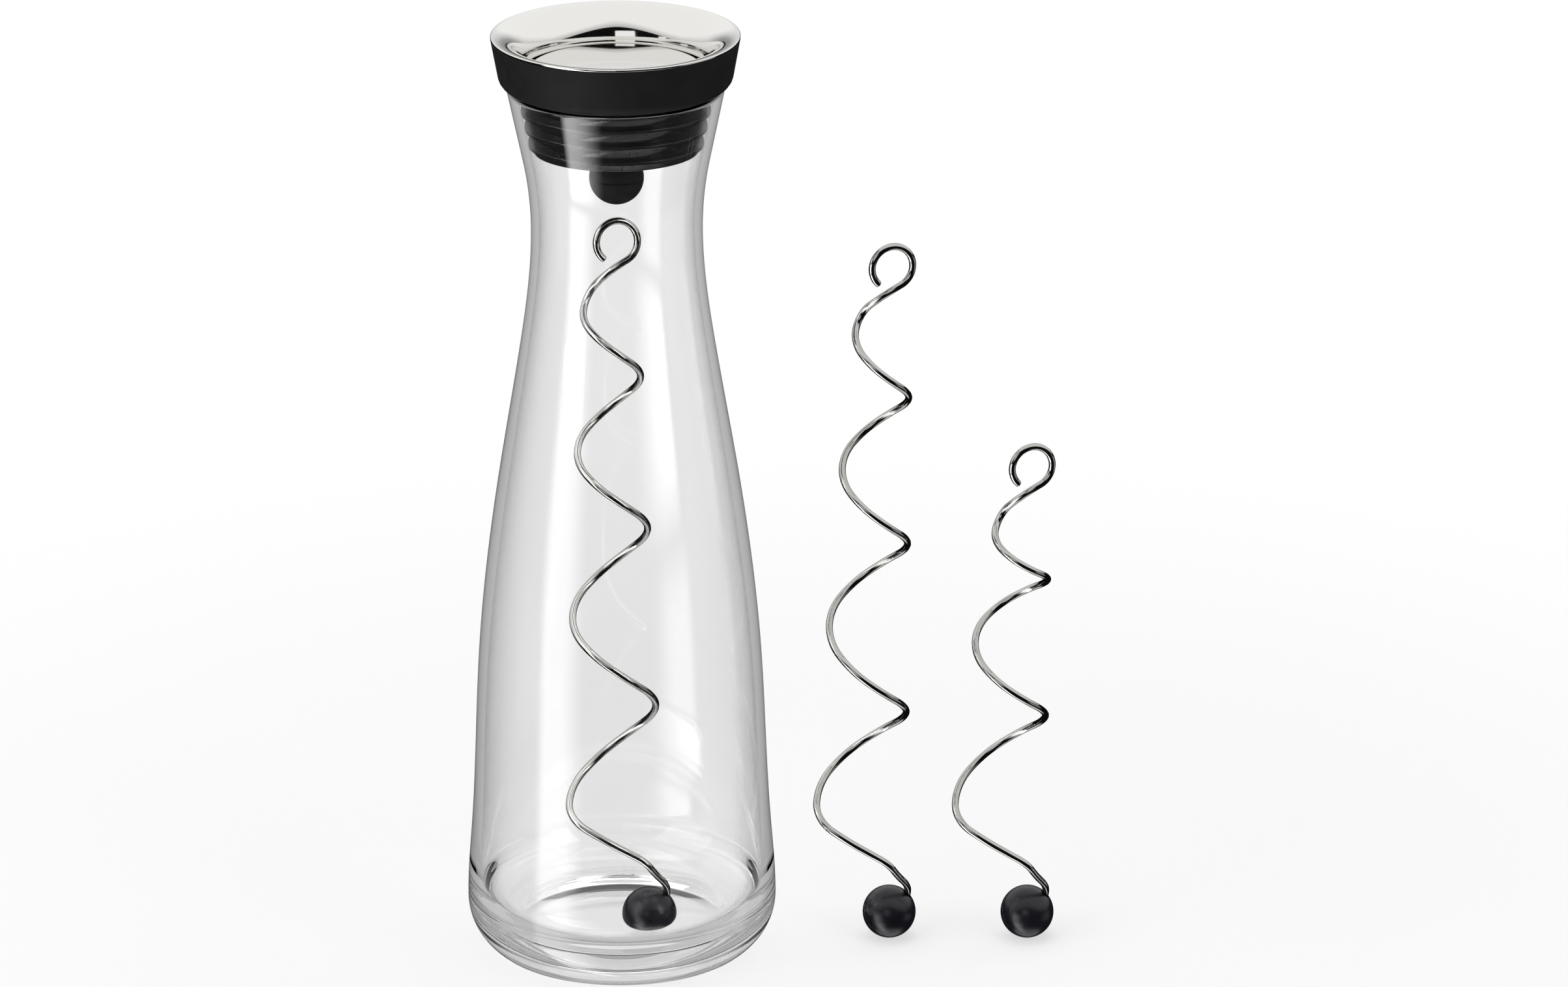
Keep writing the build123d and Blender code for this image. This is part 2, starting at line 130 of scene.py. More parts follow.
class CarafeSizes(PropertyGroup):
    """Sizes of the glass carafe, from the table up."""

    foot_radius: length("Foot radius", "Outer edge of the ring that the carafe stands on", 40 * MM)
    foot_ring: length("Foot ring", "Width of the ring that the carafe stands on", 7 * MM)
    foot_round: length("Foot round", "Rounding of the ring's edges", 1.2 * MM)
    punt: length("Punt", "Hollow under the middle of the floor", 3 * MM)
    base_radius: length("Base radius", "Widest place, just above the foot", 48.5 * MM)
    base_z: length("Base height", "Height of the widest place", 15.5 * MM)
    flank_radius: length("Flank radius", "Outer radius low on the body", 47 * MM)
    flank_z: length("Flank height", "Height of the flank", 40 * MM)
    belly_radius: length("Belly radius", "Outer radius at the middle of the body", 44.1 * MM)
    belly_z: length("Belly height", "Height of the belly", 96.5 * MM)
    shoulder_radius: length("Shoulder radius", "Outer radius where the taper is steepest", 37.3 * MM)
    shoulder_z: length("Shoulder height", "Height of the shoulder", 154.5 * MM)
    neck_radius: length("Neck radius", "Outer radius where the neck begins", 30 * MM)
    neck_z: length("Neck height", "Height where the neck begins", 198 * MM)
    throat_radius: length("Throat radius", "Outer radius at the narrowest place", 26.3 * MM)
    throat_z: length("Throat height", "Height of the narrowest place", 235 * MM)
    mouth_z: length("Mouth height", "Height of the glass rim", 280 * MM)
    mouth_curve: length("Mouth curve", "Radius of the arc that opens from the throat", 108 * MM)
    mouth_flare: angle("Mouth flare", "Slope of the mouth's straight cone", 11.8)
    base_wall: length("Base wall", "Thickness of the wall at the base", 3.8 * MM)
    body_wall: length("Body wall", "Thickness of the wall of the body", 3 * MM)
    neck_wall: length("Neck wall", "Thickness of the wall of the neck and the mouth", 2.5 * MM)
    rim_round: length("Rim round", "Rounding of the fire-polished rim", 1.1 * MM)
    floor: length("Floor", "Thickness of the floor", 10 * MM)
    floor_corner: length("Floor corner", "Rounding between the floor and the wall inside", 14 * MM)


class ClosureSizes(PropertyGroup):
    """Sizes of the push-in closure."""

    stopper: length("Stopper", "Length of the closure inside the mouth", 19 * MM)
    seal_wall: length("Seal wall", "Thickness of the seal between its lips", 1.2 * MM)
    seal_top: length("Seal top", "How far the seal stands above the glass rim", 1 * MM)
    seal_round: length("Seal round", "Rounding of the seal's foot", 0.5 * MM)
    lips: count("Lips", "Number of soft lips on the seal", 4)
    lip_depth: length("Lip depth", "How far a lip stands out from the seal", 1.2 * MM)
    lip_land: length("Lip land", "Height of a lip's edge", 0.7 * MM)
    lip_undercut: length("Lip undercut", "Height of the hollow above a lip", 0.5 * MM)
    lip_lead: length("Lip lead", "Height of the slope under a lip", 1.8 * MM)
    lip_round: length("Lip round", "Rounding of a lip's edge", 0.22 * MM)
    lip_gap: length("Lip gap", "Room between the lips and the glass", 0.3 * MM)
    rim_gap: length("Rim gap", "Room between the collar and the glass rim", 0.3 * MM)
    collar_gap: length("Collar gap", "Room between the collar and the funnel", 0.05 * MM)
    collar_overhang: length("Collar overhang", "How far the collar's foot stands past the glass", 1.9 * MM)
    collar_round: length("Collar round", "Rounding of the collar's lower edge", 3.4 * MM)
    collar_edge: length("Collar edge", "Rounding of the collar's upper edge", 0.2 * MM)
    cage_wall: length("Cage wall", "Thickness of the tube inside the seal", 1.8 * MM)
    cage_round: length("Cage round", "Rounding of the tube's foot", 0.4 * MM)
    seat: length("Seat", "Thickness of the seat that the plate closes on", 2 * MM)
    seat_width: length("Seat width", "Width of the seat", 5 * MM)
    seat_round: length("Seat round", "Rounding of the seat and of the guide ring", 0.3 * MM)
    guide_radius: length("Guide radius", "Bore of the ring that guides the stem", 7.232 * MM)
    guide_depth: length("Guide depth", "How far the guide ring's foot lies below the seat", 14 * MM)
    guide_height: length("Guide height", "Height of the guide ring", 3 * MM)
    guide_wall: length("Guide wall", "Thickness of the guide ring", 2 * MM)
    spokes: count("Spokes", "Number of spokes to the guide ring", 4)
    spoke_width: length("Spoke width", "Width of a spoke", 2 * MM)
    spoke_round: length("Spoke round", "Rounding of a spoke's edges", 0.35 * MM)
    sheet: length("Sheet", "Thickness of the steel sheet", 0.8 * MM)
    funnel_tube: length("Funnel tube", "Straight part at the foot of the steel funnel", 2.5 * MM)
    bell_reach: length("Bell reach", "How far the bell opens sideways", 10.6 * MM)
    bell_rise: length("Bell rise", "Height of the bell", 10.8 * MM)
    rim_round: length("Rim round", "Rounding of the steel rim", 0.3 * MM)


class ValveSizes(PropertyGroup):
    """Sizes of the valve that tips open in the closure."""

    plate_gap: length("Plate gap", "Room round the plate in the funnel", 0.8 * MM)
    plate_rise: length("Plate rise", "Height of the plate's edge above the seat", 2.9 * MM)
    plate_dome: length("Plate dome", "Height of the plate's dome", 0.8 * MM)
    plate_round: length("Plate round", "Rounding of the plate's edge", 0.75 * MM)
    skirt_gap: length("Skirt gap", "Room under the plate's turned-down edge", 0.7 * MM)
    skirt_round: length("Skirt round", "Rounding of the turned-down edge", 0.25 * MM)
    gasket: length("Gasket", "Thickness of the gasket", 1.2 * MM)
    gasket_inset: length("Gasket inset", "How far the gasket reaches in over the passage", 0.9 * MM)
    gasket_round: length("Gasket round", "Rounding of the gasket's lower edges", 0.3 * MM)
    boss_radius: length("Boss radius", "Radius of the boss that holds the stem", 5.5 * MM)
    boss_length: length("Boss length", "Length of the boss", 4.5 * MM)
    boss_round: length("Boss round", "Rounding of the boss's foot", 0.5 * MM)
    boss_fillet: length("Boss fillet", "Rounding between the boss and the carrier", 0.4 * MM)
    stem_radius: length("Stem radius", "Radius of the stem", 2 * MM)
    fit_gap: length("Fit gap", "Room round the stem in its bores", 0.05 * MM)
    bore_lead: length("Bore lead", "Widening at the mouth of the weight's bore", 0.4 * MM)
    weight_radius: length("Weight radius", "Radius of the weight in its skin", 8.4 * MM)
    weight_skin: length("Weight skin", "Thickness of the skin round the weight", 2.2 * MM)
    weight_z: length("Weight height", "Height of the weight's centre", 251.654 * MM)


class SkewerSizes(PropertyGroup):
    """Sizes of the spiral skewers and the places where they stand."""

    wire_radius: length("Wire radius", "Radius of the wire", 1.1 * MM)
    wire_end: length("Wire end", "Rounding of the wire's free end", 0.35 * MM)
    eye_diameter: length("Eye diameter", "Outer width of the eye", 15.5 * MM)
    eye_tip: angle("Eye tip", "Where the eye begins, from its right side", 230)
    eye_exit: angle("Eye exit", "Where the wire leaves the eye, from its right side", -65)
    eye_turn: angle("Eye turn", "Turn of the eye about the upright", 20)
    head_drop: length("Head drop", "From the top of the eye to the top of the spiral", 29 * MM)
    head_radius: length("Head radius", "Radius of the spiral at its top", 8.3 * MM)
    head_shift: length("Head shift", "Place of the spiral's centre at its top", -3 * MM)
    foot_height: length("Foot height", "Height where the spiral begins", 45 * MM)
    foot_radius: length("Foot radius", "Radius of the spiral at its foot", 14 * MM)
    foot_shift: length("Foot shift", "Place of the spiral's centre at its foot", -9 * MM)
    foot_pitch: length("Foot pitch", "Rise of one turn at the foot", 64 * MM)
    tail_over: shares("Tail over", "Where the wire leads over the ball, in ball radii", (-0.98, -0.77, 2.78))
    tail_over_way: shares("Tail way over", "Direction of the wire there", (0.82, 0.17, -0.55))
    tail_down: shares("Tail down", "Where it bends down to the ball, in ball radii", (0.15, -0.60, 1.90))
    tail_down_way: shares("Tail way down", "Direction of the wire there", (0.45, 0.39, -0.80))
    tail_stop: shares("Tail stop", "Where the wire ends inside the ball, in ball radii", (0.59, 0.37, 0.00))
    tail_slope: shares("Tail slope", "Direction of the wire's straight end", (-0.11, 0.47, -0.88))
    tail_straight: length("Tail straight", "Length of the wire's straight end", 7.7 * MM)
    ball_radius: length("Ball radius", "Radius of the push-on ball", 8.4 * MM)
    bore_lead: length("Bore lead", "Room round the wire at the mouth of the bore", 0.12 * MM)
    seam_depth: length("Seam depth", "Depth of the ball's moulding seam", 0.3 * MM)
    seam_width: length("Seam width", "Width of the ball's moulding seam", 0.6 * MM)
    seam_facing: shares("Seam facing", "Direction that the seam's circle faces", (0.35, -0.76, 0.55))
    long_height: length("Long height", "Height of the long skewers", 229.954 * MM)
    long_turns: count("Long turns", "Turns of a long skewer's spiral", 3)
    short_height: length("Short height", "Height of the short skewer", 165 * MM)
    short_turns: count("Short turns", "Turns of the short skewer's spiral", 2)
    inner_stand: length("Inner stand", "Height of the foot of the inner skewer's ball", 10.3 * MM)
    inner_offset: length("Inner offset", "Place of the inner skewer's ball to the right of the axis", 9 * MM)
    inner_forward: length("Inner forward", "Place of the inner skewer's ball in front of the axis", 26 * MM)
    long_offset: length("Long offset", "Place of the long spare to the right of the axis", 84.4 * MM)
    short_offset: length("Short offset", "Place of the short spare to the right of the axis", 128 * MM)


class Finishes(PropertyGroup):
    """Colours of the materials."""

    glass: colour("Glass", "Tint of the clear glass", "#FDFDFD")
    thick_glass: colour("Thick glass", "Tint that the glass takes on in its depth", "#DBDBDB")
    shade: colour("Shade", "Lamp light that has passed through the glass", "#F4F4F4")
    steel: colour("Steel", "Mirror-polished stainless steel", "#E9E8E5")
    wire: colour("Wire", "Drawn stainless wire", "#BCBBB8")
    silicone: colour("Silicone", "Matte black silicone", "#101011")
    seal: colour("Seal", "Smooth black silicone of the seal", "#141415")
    plastic: colour("Plastic", "Black moulded plastic", "#141415")
    ball: colour("Ball", "Satin black silicone of the balls", "#100E15")
    paper: colour("Paper", "Floor of the studio", "#F4F4F4")


class StudioSettings(PropertyGroup):
    """Camera and light."""

    distance: length("Camera distance", "From the camera to the middle of the picture", 2.318)
    elevation: angle("Camera elevation", "Height of the camera above the horizon", 19.68)
    lens: FloatProperty(
        name="Lens", description="Focal length on a 36 mm sensor", default=171.7, unit="CAMERA"
    )
    sight: length("Sight", "How far the camera sees", 20)
    middle: FloatVectorProperty(
        name="Middle",
        description="Point in the middle of the picture",
        default=(51.15 * MM, 0, 148.57 * MM),
        unit="LENGTH",
    )
    floor_radius: length("Floor radius", "Radius of the paper floor", 4)
    floor_drop: length("Floor drop", "How far the paper lies below the object's foot", 0.1 * MM)
    shadow_middle: length("Shadow middle", "Middle of the shadows to the right of the axis", 50 * MM)
    shadow_near: length("Shadow near", "Radius within which the paper shows its shadows", 160 * MM)
    shadow_far: length("Shadow far", "Radius from which the paper is plain white", 500 * MM)
    shadow_lift: factor("Shadow lift", "Share of plain white where the paper shows its shadows", 0.6)
    key: power("Key", "Power of the large softbox on the left", 11)
    fill: power("Fill", "Power of the softbox on the right", 5)
    top: power("Top", "Power of the softbox overhead", 9)
    ambient: factor("Ambient", "Light from all sides", 0.45)
    opening_side: angle("Opening side", "Bearing at which the tent's opening is lowest", 94)
    opening_top: factor("Opening top", "Height of the opening in front", 0.62)
    opening_foot: factor("Opening foot", "Height of the opening at its sides", 0.07)
    opening_edge: factor("Opening edge", "Half the softness of the opening's edge", 0.015)
    opening_light: factor("Opening light", "Brightness of the dark inside the opening", 0.005)
    hem: factor("Hem", "Width of the dimmer hem of the tent along the opening", 0.3)
    hem_light: factor("Hem light", "Brightness of the hem at the opening", 0.6)
    dusk_side: angle("Dusk side", "Bearing from which the tent is dimmer behind the object", 140)
    dusk_back: angle("Dusk back", "Bearing from which that dimming is full", 165)
    dusk_low: factor("Dusk low", "Height up to which that dimming is full", 0.17)
    dusk_high: factor("Dusk high", "Height from which the tent behind is bright again", 0.34)
    dusk_depth: factor("Dusk depth", "Brightness that the tent loses there", 0.3)
    glow_side: angle("Glow side", "Bearing from which light inside the glass glows", 112)
    glow_back: angle("Glow back", "Bearing from which that glow is full", 140)
    glow_light: factor("Glow light", "Brightness of that glow", 0.6)
    glass_faint: factor("Glass faint", "Least light from inside the glass, after one reflection", 0.06)
    glass_grey: factor("Glass grey", "Least light from inside the glass, after four reflections", 0.26)


def add_node(tree, kind, sockets=None, **settings):
    """Adds a node with its settings, and gives its sockets values, or links from sockets or from nodes."""
    node = tree.nodes.new(kind)
    for name, value in settings.items():
        setattr(node, name, value)
    for name, value in (sockets or {}).items():
        source = value.outputs[0] if isinstance(value, bpy.types.Node) else value
        if isinstance(source, bpy.types.NodeSocket):
            tree.links.new(source, node.inputs[name])
        else:
            node.inputs[name].default_value = source
    return node


def start_material(name):
    """Empty material, and its tree."""
    material = bpy.data.materials.new(name)
    material.use_nodes = True
    material.node_tree.nodes.clear()
    return material, material.node_tree


def clear_blown_glass():
    """Soda-lime glass, blown and fire polished."""
    # A clear wall that bends what lies behind it, with the faint long waves of blown glass, and greyer
    # where it is thick. Lamp light passes straight through it, so that its shadow stays light, and light
    # that has run round inside the wall a few times is let out.
    finishes = bpy.context.scene.infuser_finishes
    material, tree = start_material("clear_blown_glass")
    place = add_node(tree, "ShaderNodeTexCoord").outputs["Object"]
    waves = add_node(
        tree, "ShaderNodeTexNoise", {"Vector": place, "Scale": 1 / (45 * MM), "Detail": 1.0, "Roughness": 0.4}
    )
    skin = add_node(tree, "ShaderNodeBump", {"Strength": 0.12, "Distance": 0.4 * MM, "Height": waves})
    glass = add_node(
        tree,
        "ShaderNodeBsdfPrincipled",
        {
            "Base Color": finishes.glass,
            "Roughness": 0.0,
            "IOR": 1.52,
            "Transmission Weight": 1.0,
            "Normal": skin,
        },
    )
    lit = add_node(tree, "ShaderNodeBsdfTransparent", {"Color": finishes.shade})
    path = add_node(tree, "ShaderNodeLightPath")
    caught = add_node(
        tree, "ShaderNodeMath", {0: path.outputs["Glossy Depth"], 1: CAUGHT_AFTER}, operation="GREATER_THAN"
    )
    passing = add_node(
        tree, "ShaderNodeMath", {0: path.outputs["Is Shadow Ray"], 1: caught}, operation="MAXIMUM"
    )
    mixed = add_node(tree, "ShaderNodeMixShader", {0: passing, 1: glass, 2: lit})
    depth = add_node(tree, "ShaderNodeVolumeAbsorption", {"Color": finishes.thick_glass, "Density": 14.0})
    add_node(tree, "ShaderNodeOutputMaterial", {"Surface": mixed, "Volume": depth})
    return material


def mirror_stainless():
    """Stainless steel sheet, deep drawn and mirror polished."""
    # A mirror that is a little hazy in places from handling, with the slow waves of drawn sheet.
    material, tree = start_material("mirror_polished_stainless")
    place = add_node(tree, "ShaderNodeTexCoord").outputs["Object"]
    haze = add_node(
        tree, "ShaderNodeTexNoise", {"Vector": place, "Scale": 1 / (9 * MM), "Detail": 4.0, "Roughness": 0.6}
    )
    gloss = add_node(
        tree,
        "ShaderNodeMapRange",
        {"Value": haze, "From Min": 0.3, "From Max": 0.75, "To Min": 0.035, "To Max": 0.085},
    )
    waves = add_node(tree, "ShaderNodeTexNoise", {"Vector": place, "Scale": 1 / (14 * MM), "Detail": 0.0})
    skin = add_node(tree, "ShaderNodeBump", {"Strength": 0.08, "Distance": 0.15 * MM, "Height": waves})
    steel = add_node(
        tree,
        "ShaderNodeBsdfPrincipled",
        {
            "Base Color": bpy.context.scene.infuser_finishes.steel,
            "Metallic": 1.0,
            "Roughness": gloss,
            "Normal": skin,
        },
    )
    add_node(tree, "ShaderNodeOutputMaterial", {"Surface": steel})
    return material


def drawn_wire():
    """Stainless wire, drawn and polished."""
    # Bright round wire with short dull streaks where the bending tools touched it.
    material, tree = start_material("drawn_stainless_wire")
    place = add_node(tree, "ShaderNodeTexCoord").outputs["Object"]
    streaks = add_node(
        tree, "ShaderNodeTexNoise", {"Vector": place, "Scale": 1 / (5 * MM), "Detail": 3.0, "Roughness": 0.65}
    )
    gloss = add_node(
        tree,
        "ShaderNodeMapRange",
        {"Value": streaks, "From Min": 0.3, "From Max": 0.75, "To Min": 0.03, "To Max": 0.09},
    )
    wire = add_node(
        tree,
        "ShaderNodeBsdfPrincipled",
        {"Base Color": bpy.context.scene.infuser_finishes.wire, "Metallic": 1.0, "Roughness": gloss},
    )
    add_node(tree, "ShaderNodeOutputMaterial", {"Surface": wire})
    return material


def black_moulding(name, tone, grain, depth, smoothest, roughest, shine):
    """Black moulded material: its tone, the size and depth of its grain, its roughness and its shine."""
    # Patches of a few millimetres are a little paler and duller than the rest.
    material, tree = start_material(name)
    place = add_node(tree, "ShaderNodeTexCoord").outputs["Object"]
    cloud = add_node(
        tree, "ShaderNodeTexNoise", {"Vector": place, "Scale": 1 / (6 * MM), "Detail": 5.0, "Roughness": 0.6}
    )
    paler = tuple(min(1.0, share * 1.5 + 0.0015) for share in tone[:3])
    tint = add_node(
        tree, "ShaderNodeMix", {"Factor": cloud, "A": tone, "B": (*paler, 1.0)}, data_type="RGBA"
    )
    gloss = add_node(
        tree,
        "ShaderNodeMapRange",
        {"Value": cloud, "From Min": 0.3, "From Max": 0.7, "To Min": smoothest, "To Max": roughest},
    )
    grains = add_node(
        tree, "ShaderNodeTexNoise", {"Vector": place, "Scale": 1 / grain, "Detail": 2.0, "Roughness": 0.5}
    )
    skin = add_node(tree, "ShaderNodeBump", {"Strength": 0.35, "Distance": depth, "Height": grains})
    body = add_node(
        tree,
        "ShaderNodeBsdfPrincipled",
        {
            "Base Color": tint.outputs["Result"],
            "Roughness": gloss,
            "IOR": 1.45,
            "Specular IOR Level": shine,
            "Normal": skin,
        },
    )
    add_node(tree, "ShaderNodeOutputMaterial", {"Surface": body})
    return material


def matte_silicone():
    """Silicone rubber from a blasted mould."""
    # Soft, dull and slightly dusty. The grain is about 0.1 mm, and is drawn at 0.5 mm so that it shows.
    return black_moulding(
        "matte_black_silicone",
        bpy.context.scene.infuser_finishes.silicone,
        grain=0.5 * MM,
        depth=0.05 * MM,
        smoothest=0.55,
        roughest=0.7,
        shine=0.25,
    )


def smooth_silicone():
    """Silicone rubber from a polished mould."""
    # Wet-looking behind the glass, so that its lips catch long bright lines.
    return black_moulding(
        "smooth_black_silicone",
        bpy.context.scene.infuser_finishes.seal,
        grain=4 * MM,
        depth=0.004 * MM,
        smoothest=0.05,
        roughest=0.08,
        shine=0.5,
    )


def moulded_plastic():
    """Injection moulded ABS with a spark-eroded skin."""
    # Half dull, with a fine even grain. It is about 0.05 mm, and is drawn at 0.6 mm so that it shows.
    return black_moulding(
        "moulded_black_abs",
        bpy.context.scene.infuser_finishes.plastic,
        grain=0.6 * MM,
        depth=0.02 * MM,
        smoothest=0.3,
        roughest=0.42,
        shine=0.5,
    )


def satin_silicone():
    """Hard silicone rubber, tumbled."""
    # A soft wide highlight. The grain is about 0.1 mm, and is drawn at 0.5 mm so that it shows.
    return black_moulding(
        "satin_black_silicone",
        bpy.context.scene.infuser_finishes.ball,
        grain=0.5 * MM,
        depth=0.02 * MM,
        smoothest=0.24,
        roughest=0.32,
        shine=0.5,
    )


def finish(make):
    """The material of a finish, made once."""
    name = f"infuser_{make.__name__}"
    if name not in bpy.data.materials:
        make().name = name
    return bpy.data.materials[name]


def arc_end(start, way, end):
    """Direction at the end of the arc that leaves a point in a direction and runs to another point."""
    chord = (end - start).normalized()
    return 2 * chord.dot(way) * chord - way


def at(radius, height):
    """Point of a section in the XZ plane."""
    return Vector((radius, 0, height))


def draw_curve(stations, steps, closed=False, tube=0.0):
    """Mesh of a line through stations, or of a round tube along it.

    A station is a point, the direction in which the line comes in and the one in which it goes out.
    The line runs straight where there is none.
    """
    curve = bpy.data.curves.new("drawn", "CURVE")
    curve.dimensions = "3D"
    curve.resolution_u = steps
    curve.fill_mode = "FULL"
    curve.bevel_depth = tube
    curve.bevel_resolution = 5
    curve.use_fill_caps = tube > 0
    spline = curve.splines.new("BEZIER")
    spline.use_cyclic_u = closed
    spline.bezier_points.add(len(stations) - 1)
    points = spline.bezier_points
    for point, (place, _, _) in zip(points, stations):
        point.co = place
    for point in points:
        point.handle_left_type = point.handle_right_type = "VECTOR"
    for before in range(len(stations) - 1):
        start, _, leaving = stations[before]
        end, arriving, _ = stations[before + 1]
        if leaving is None or arriving is None:
            continue
        # Handles of this share of the chord draw an arc, and those of a third of it draw a line.
        bend = leaving.angle(arriving)
        share = 1 / 3 if bend < SLIGHT_BEND else 2 / 3 * tan(bend / 4) / sin(bend / 2)
        points[before].handle_right_type = "FREE"
        points[before].handle_right = start + leaving * share * (end - start).length
        points[before + 1].handle_left_type = "FREE"
        points[before + 1].handle_left = end - arriving * share * (end - start).length
    holder = bpy.data.objects.new("drawn", curve)
    bpy.context.scene.collection.objects.link(holder)
    graph = bpy.context.evaluated_depsgraph_get()
    mesh = bpy.data.meshes.new_from_object(holder.evaluated_get(graph), depsgraph=graph)
    shape = bmesh.new()
    shape.from_mesh(mesh)
    bmesh.ops.remove_doubles(shape, verts=shape.verts, dist=LINE_WELD)
    bpy.data.objects.remove(holder)
    bpy.data.curves.remove(curve)
    bpy.data.meshes.remove(mesh)
    return shape


def draw_section(stations, rounds=(), steps=16, closed=False):
    """Line of a turned piece's section, with some of its corners rounded."""
    full = [station if isinstance(station, tuple) else (station, None, None) for station in stations]
    line = draw_curve(full, steps, closed)
    for corner, size in rounds:
        nearest = min(line.verts, key=lambda vert: (vert.co - corner).length)
        bmesh.ops.bevel(
            line, geom=[nearest], offset=size, segments=5, profile=0.5, affect="VERTICES", material=-1
        )
    return line


def turn(section, segments, place=None):
    """Turns a section about Z into a closed piece and sets it in its place."""
    bmesh.ops.spin(
        section,
        geom=[*section.verts, *section.edges],
        cent=(0, 0, 0),
        axis=(0, 0, 1),
        angle=2 * pi,
        steps=segments,
        use_merge=True,
    )
    bmesh.ops.remove_doubles(section, verts=section.verts, dist=WELD)
    bmesh.ops.recalc_face_normals(section, faces=section.faces)
    if place is not None:
        bmesh.ops.transform(section, matrix=place, verts=section.verts)
    return section


def join(shape, other):
    """Adds another shape to a shape."""
    carrier = bpy.data.meshes.new("carrier")
    other.to_mesh(carrier)
    shape.from_mesh(carrier)
    other.free()
    bpy.data.meshes.remove(carrier)


def make_piece(shape, name, body, node, make):
    """Makes a shape the piece that stands for a node of the frame and moves with its body.

    The last value is the function that makes its finish.
    """
    mesh = bpy.data.meshes.new(name)
    shape.to_mesh(mesh)
    shape.free()
    mesh.shade_smooth()
    mesh.set_sharp_from_angle(angle=SHARP_BEND)
    mesh.materials.append(finish(make))
    piece = bpy.data.objects.new(name, mesh)
    bpy.context.scene.collection.objects.link(piece)
    # Large faces keep their own shading beside small rounded edges.
    piece.modifiers.new("face_shading", "WEIGHTED_NORMAL").keep_sharp = True
    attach(piece, body)
    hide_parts(node)


def side_stations(corners):
    """Stations of a smooth side through radii and heights, upright at both ends."""
    sweeps = 40
    rises = [after[1] - before[1] for before, after in zip(corners, corners[1:])]
    steeps = [(after[0] - before[0]) / (after[1] - before[1]) for before, after in zip(corners, corners[1:])]
    slopes = [0.0] * len(corners)
    # The slopes settle, sweep by sweep, on those of the curve that bends least.
    for _ in range(sweeps):
        for here in range(1, len(corners) - 1):
            low, high = rises[here - 1], rises[here]
            pull = 3 * (steeps[here - 1] * high + steeps[here] * low)
            slopes[here] = (pull - high * slopes[here - 1] - low * slopes[here + 1]) / (2 * (low + high))
    ways = [Vector((slope, 0, 1)).normalized() for slope in slopes]
    return [(at(*corner), way, way) for corner, way in zip(corners, ways)]


def reverse(stations):
    """The same stations in the other direction."""
    flipped = []
    for place, arriving, leaving in reversed(stations):
        ways = (None if way is None else -way for way in (leaving, arriving))
        flipped.append((place, *ways))
    return flipped


def mouth_radius(carafe, height):
    """Outer radius of the glass at a height above its throat."""
    rise = height - carafe.throat_z
    flare_rise = carafe.mouth_curve * sin(carafe.mouth_flare)
    if rise < flare_rise:
        return carafe.throat_radius + carafe.mouth_curve - sqrt(carafe.mouth_curve**2 - rise**2)
    spread = carafe.mouth_curve * (1 - cos(carafe.mouth_flare))
    return carafe.throat_radius + spread + (rise - flare_rise) * tan(carafe.mouth_flare)


class Levels:
    """Heights and radii of the closure, worked out from what each piece seats on."""

    def __init__(self, scene):
        self.carafe, closure, valve = scene.infuser_carafe, scene.infuser_closure, scene.infuser_valve
        self.mouth = self.carafe.mouth_z
        self.stopper = self.mouth - closure.stopper
        self.seal_top = self.mouth + closure.seal_top
        self.seat = self.seal_top + closure.seat
        self.bell = self.seat + closure.funnel_tube
        self.rim = self.bell + closure.bell_rise
        self.cage_radius = self.bore(self.stopper) - closure.lip_gap - closure.lip_depth - closure.seal_wall
        self.passage_radius = self.cage_radius - closure.cage_wall
        self.funnel_radius = self.passage_radius + closure.seat_width
        self.tube_radius = self.funnel_radius + closure.sheet
        self.rim_radius = self.funnel_radius + closure.bell_reach
        self.plate_radius = self.funnel_radius - valve.plate_gap
        self.gasket_radius = self.plate_radius - closure.sheet
        self.gasket_top = self.seat + valve.gasket
        self.plate_edge = self.seat + valve.plate_rise
        self.plate_top = self.plate_edge + valve.plate_dome

    def bore(self, height):
        """Inner radius of the mouth at a height."""
        return mouth_radius(self.carafe, height) - self.carafe.neck_wall


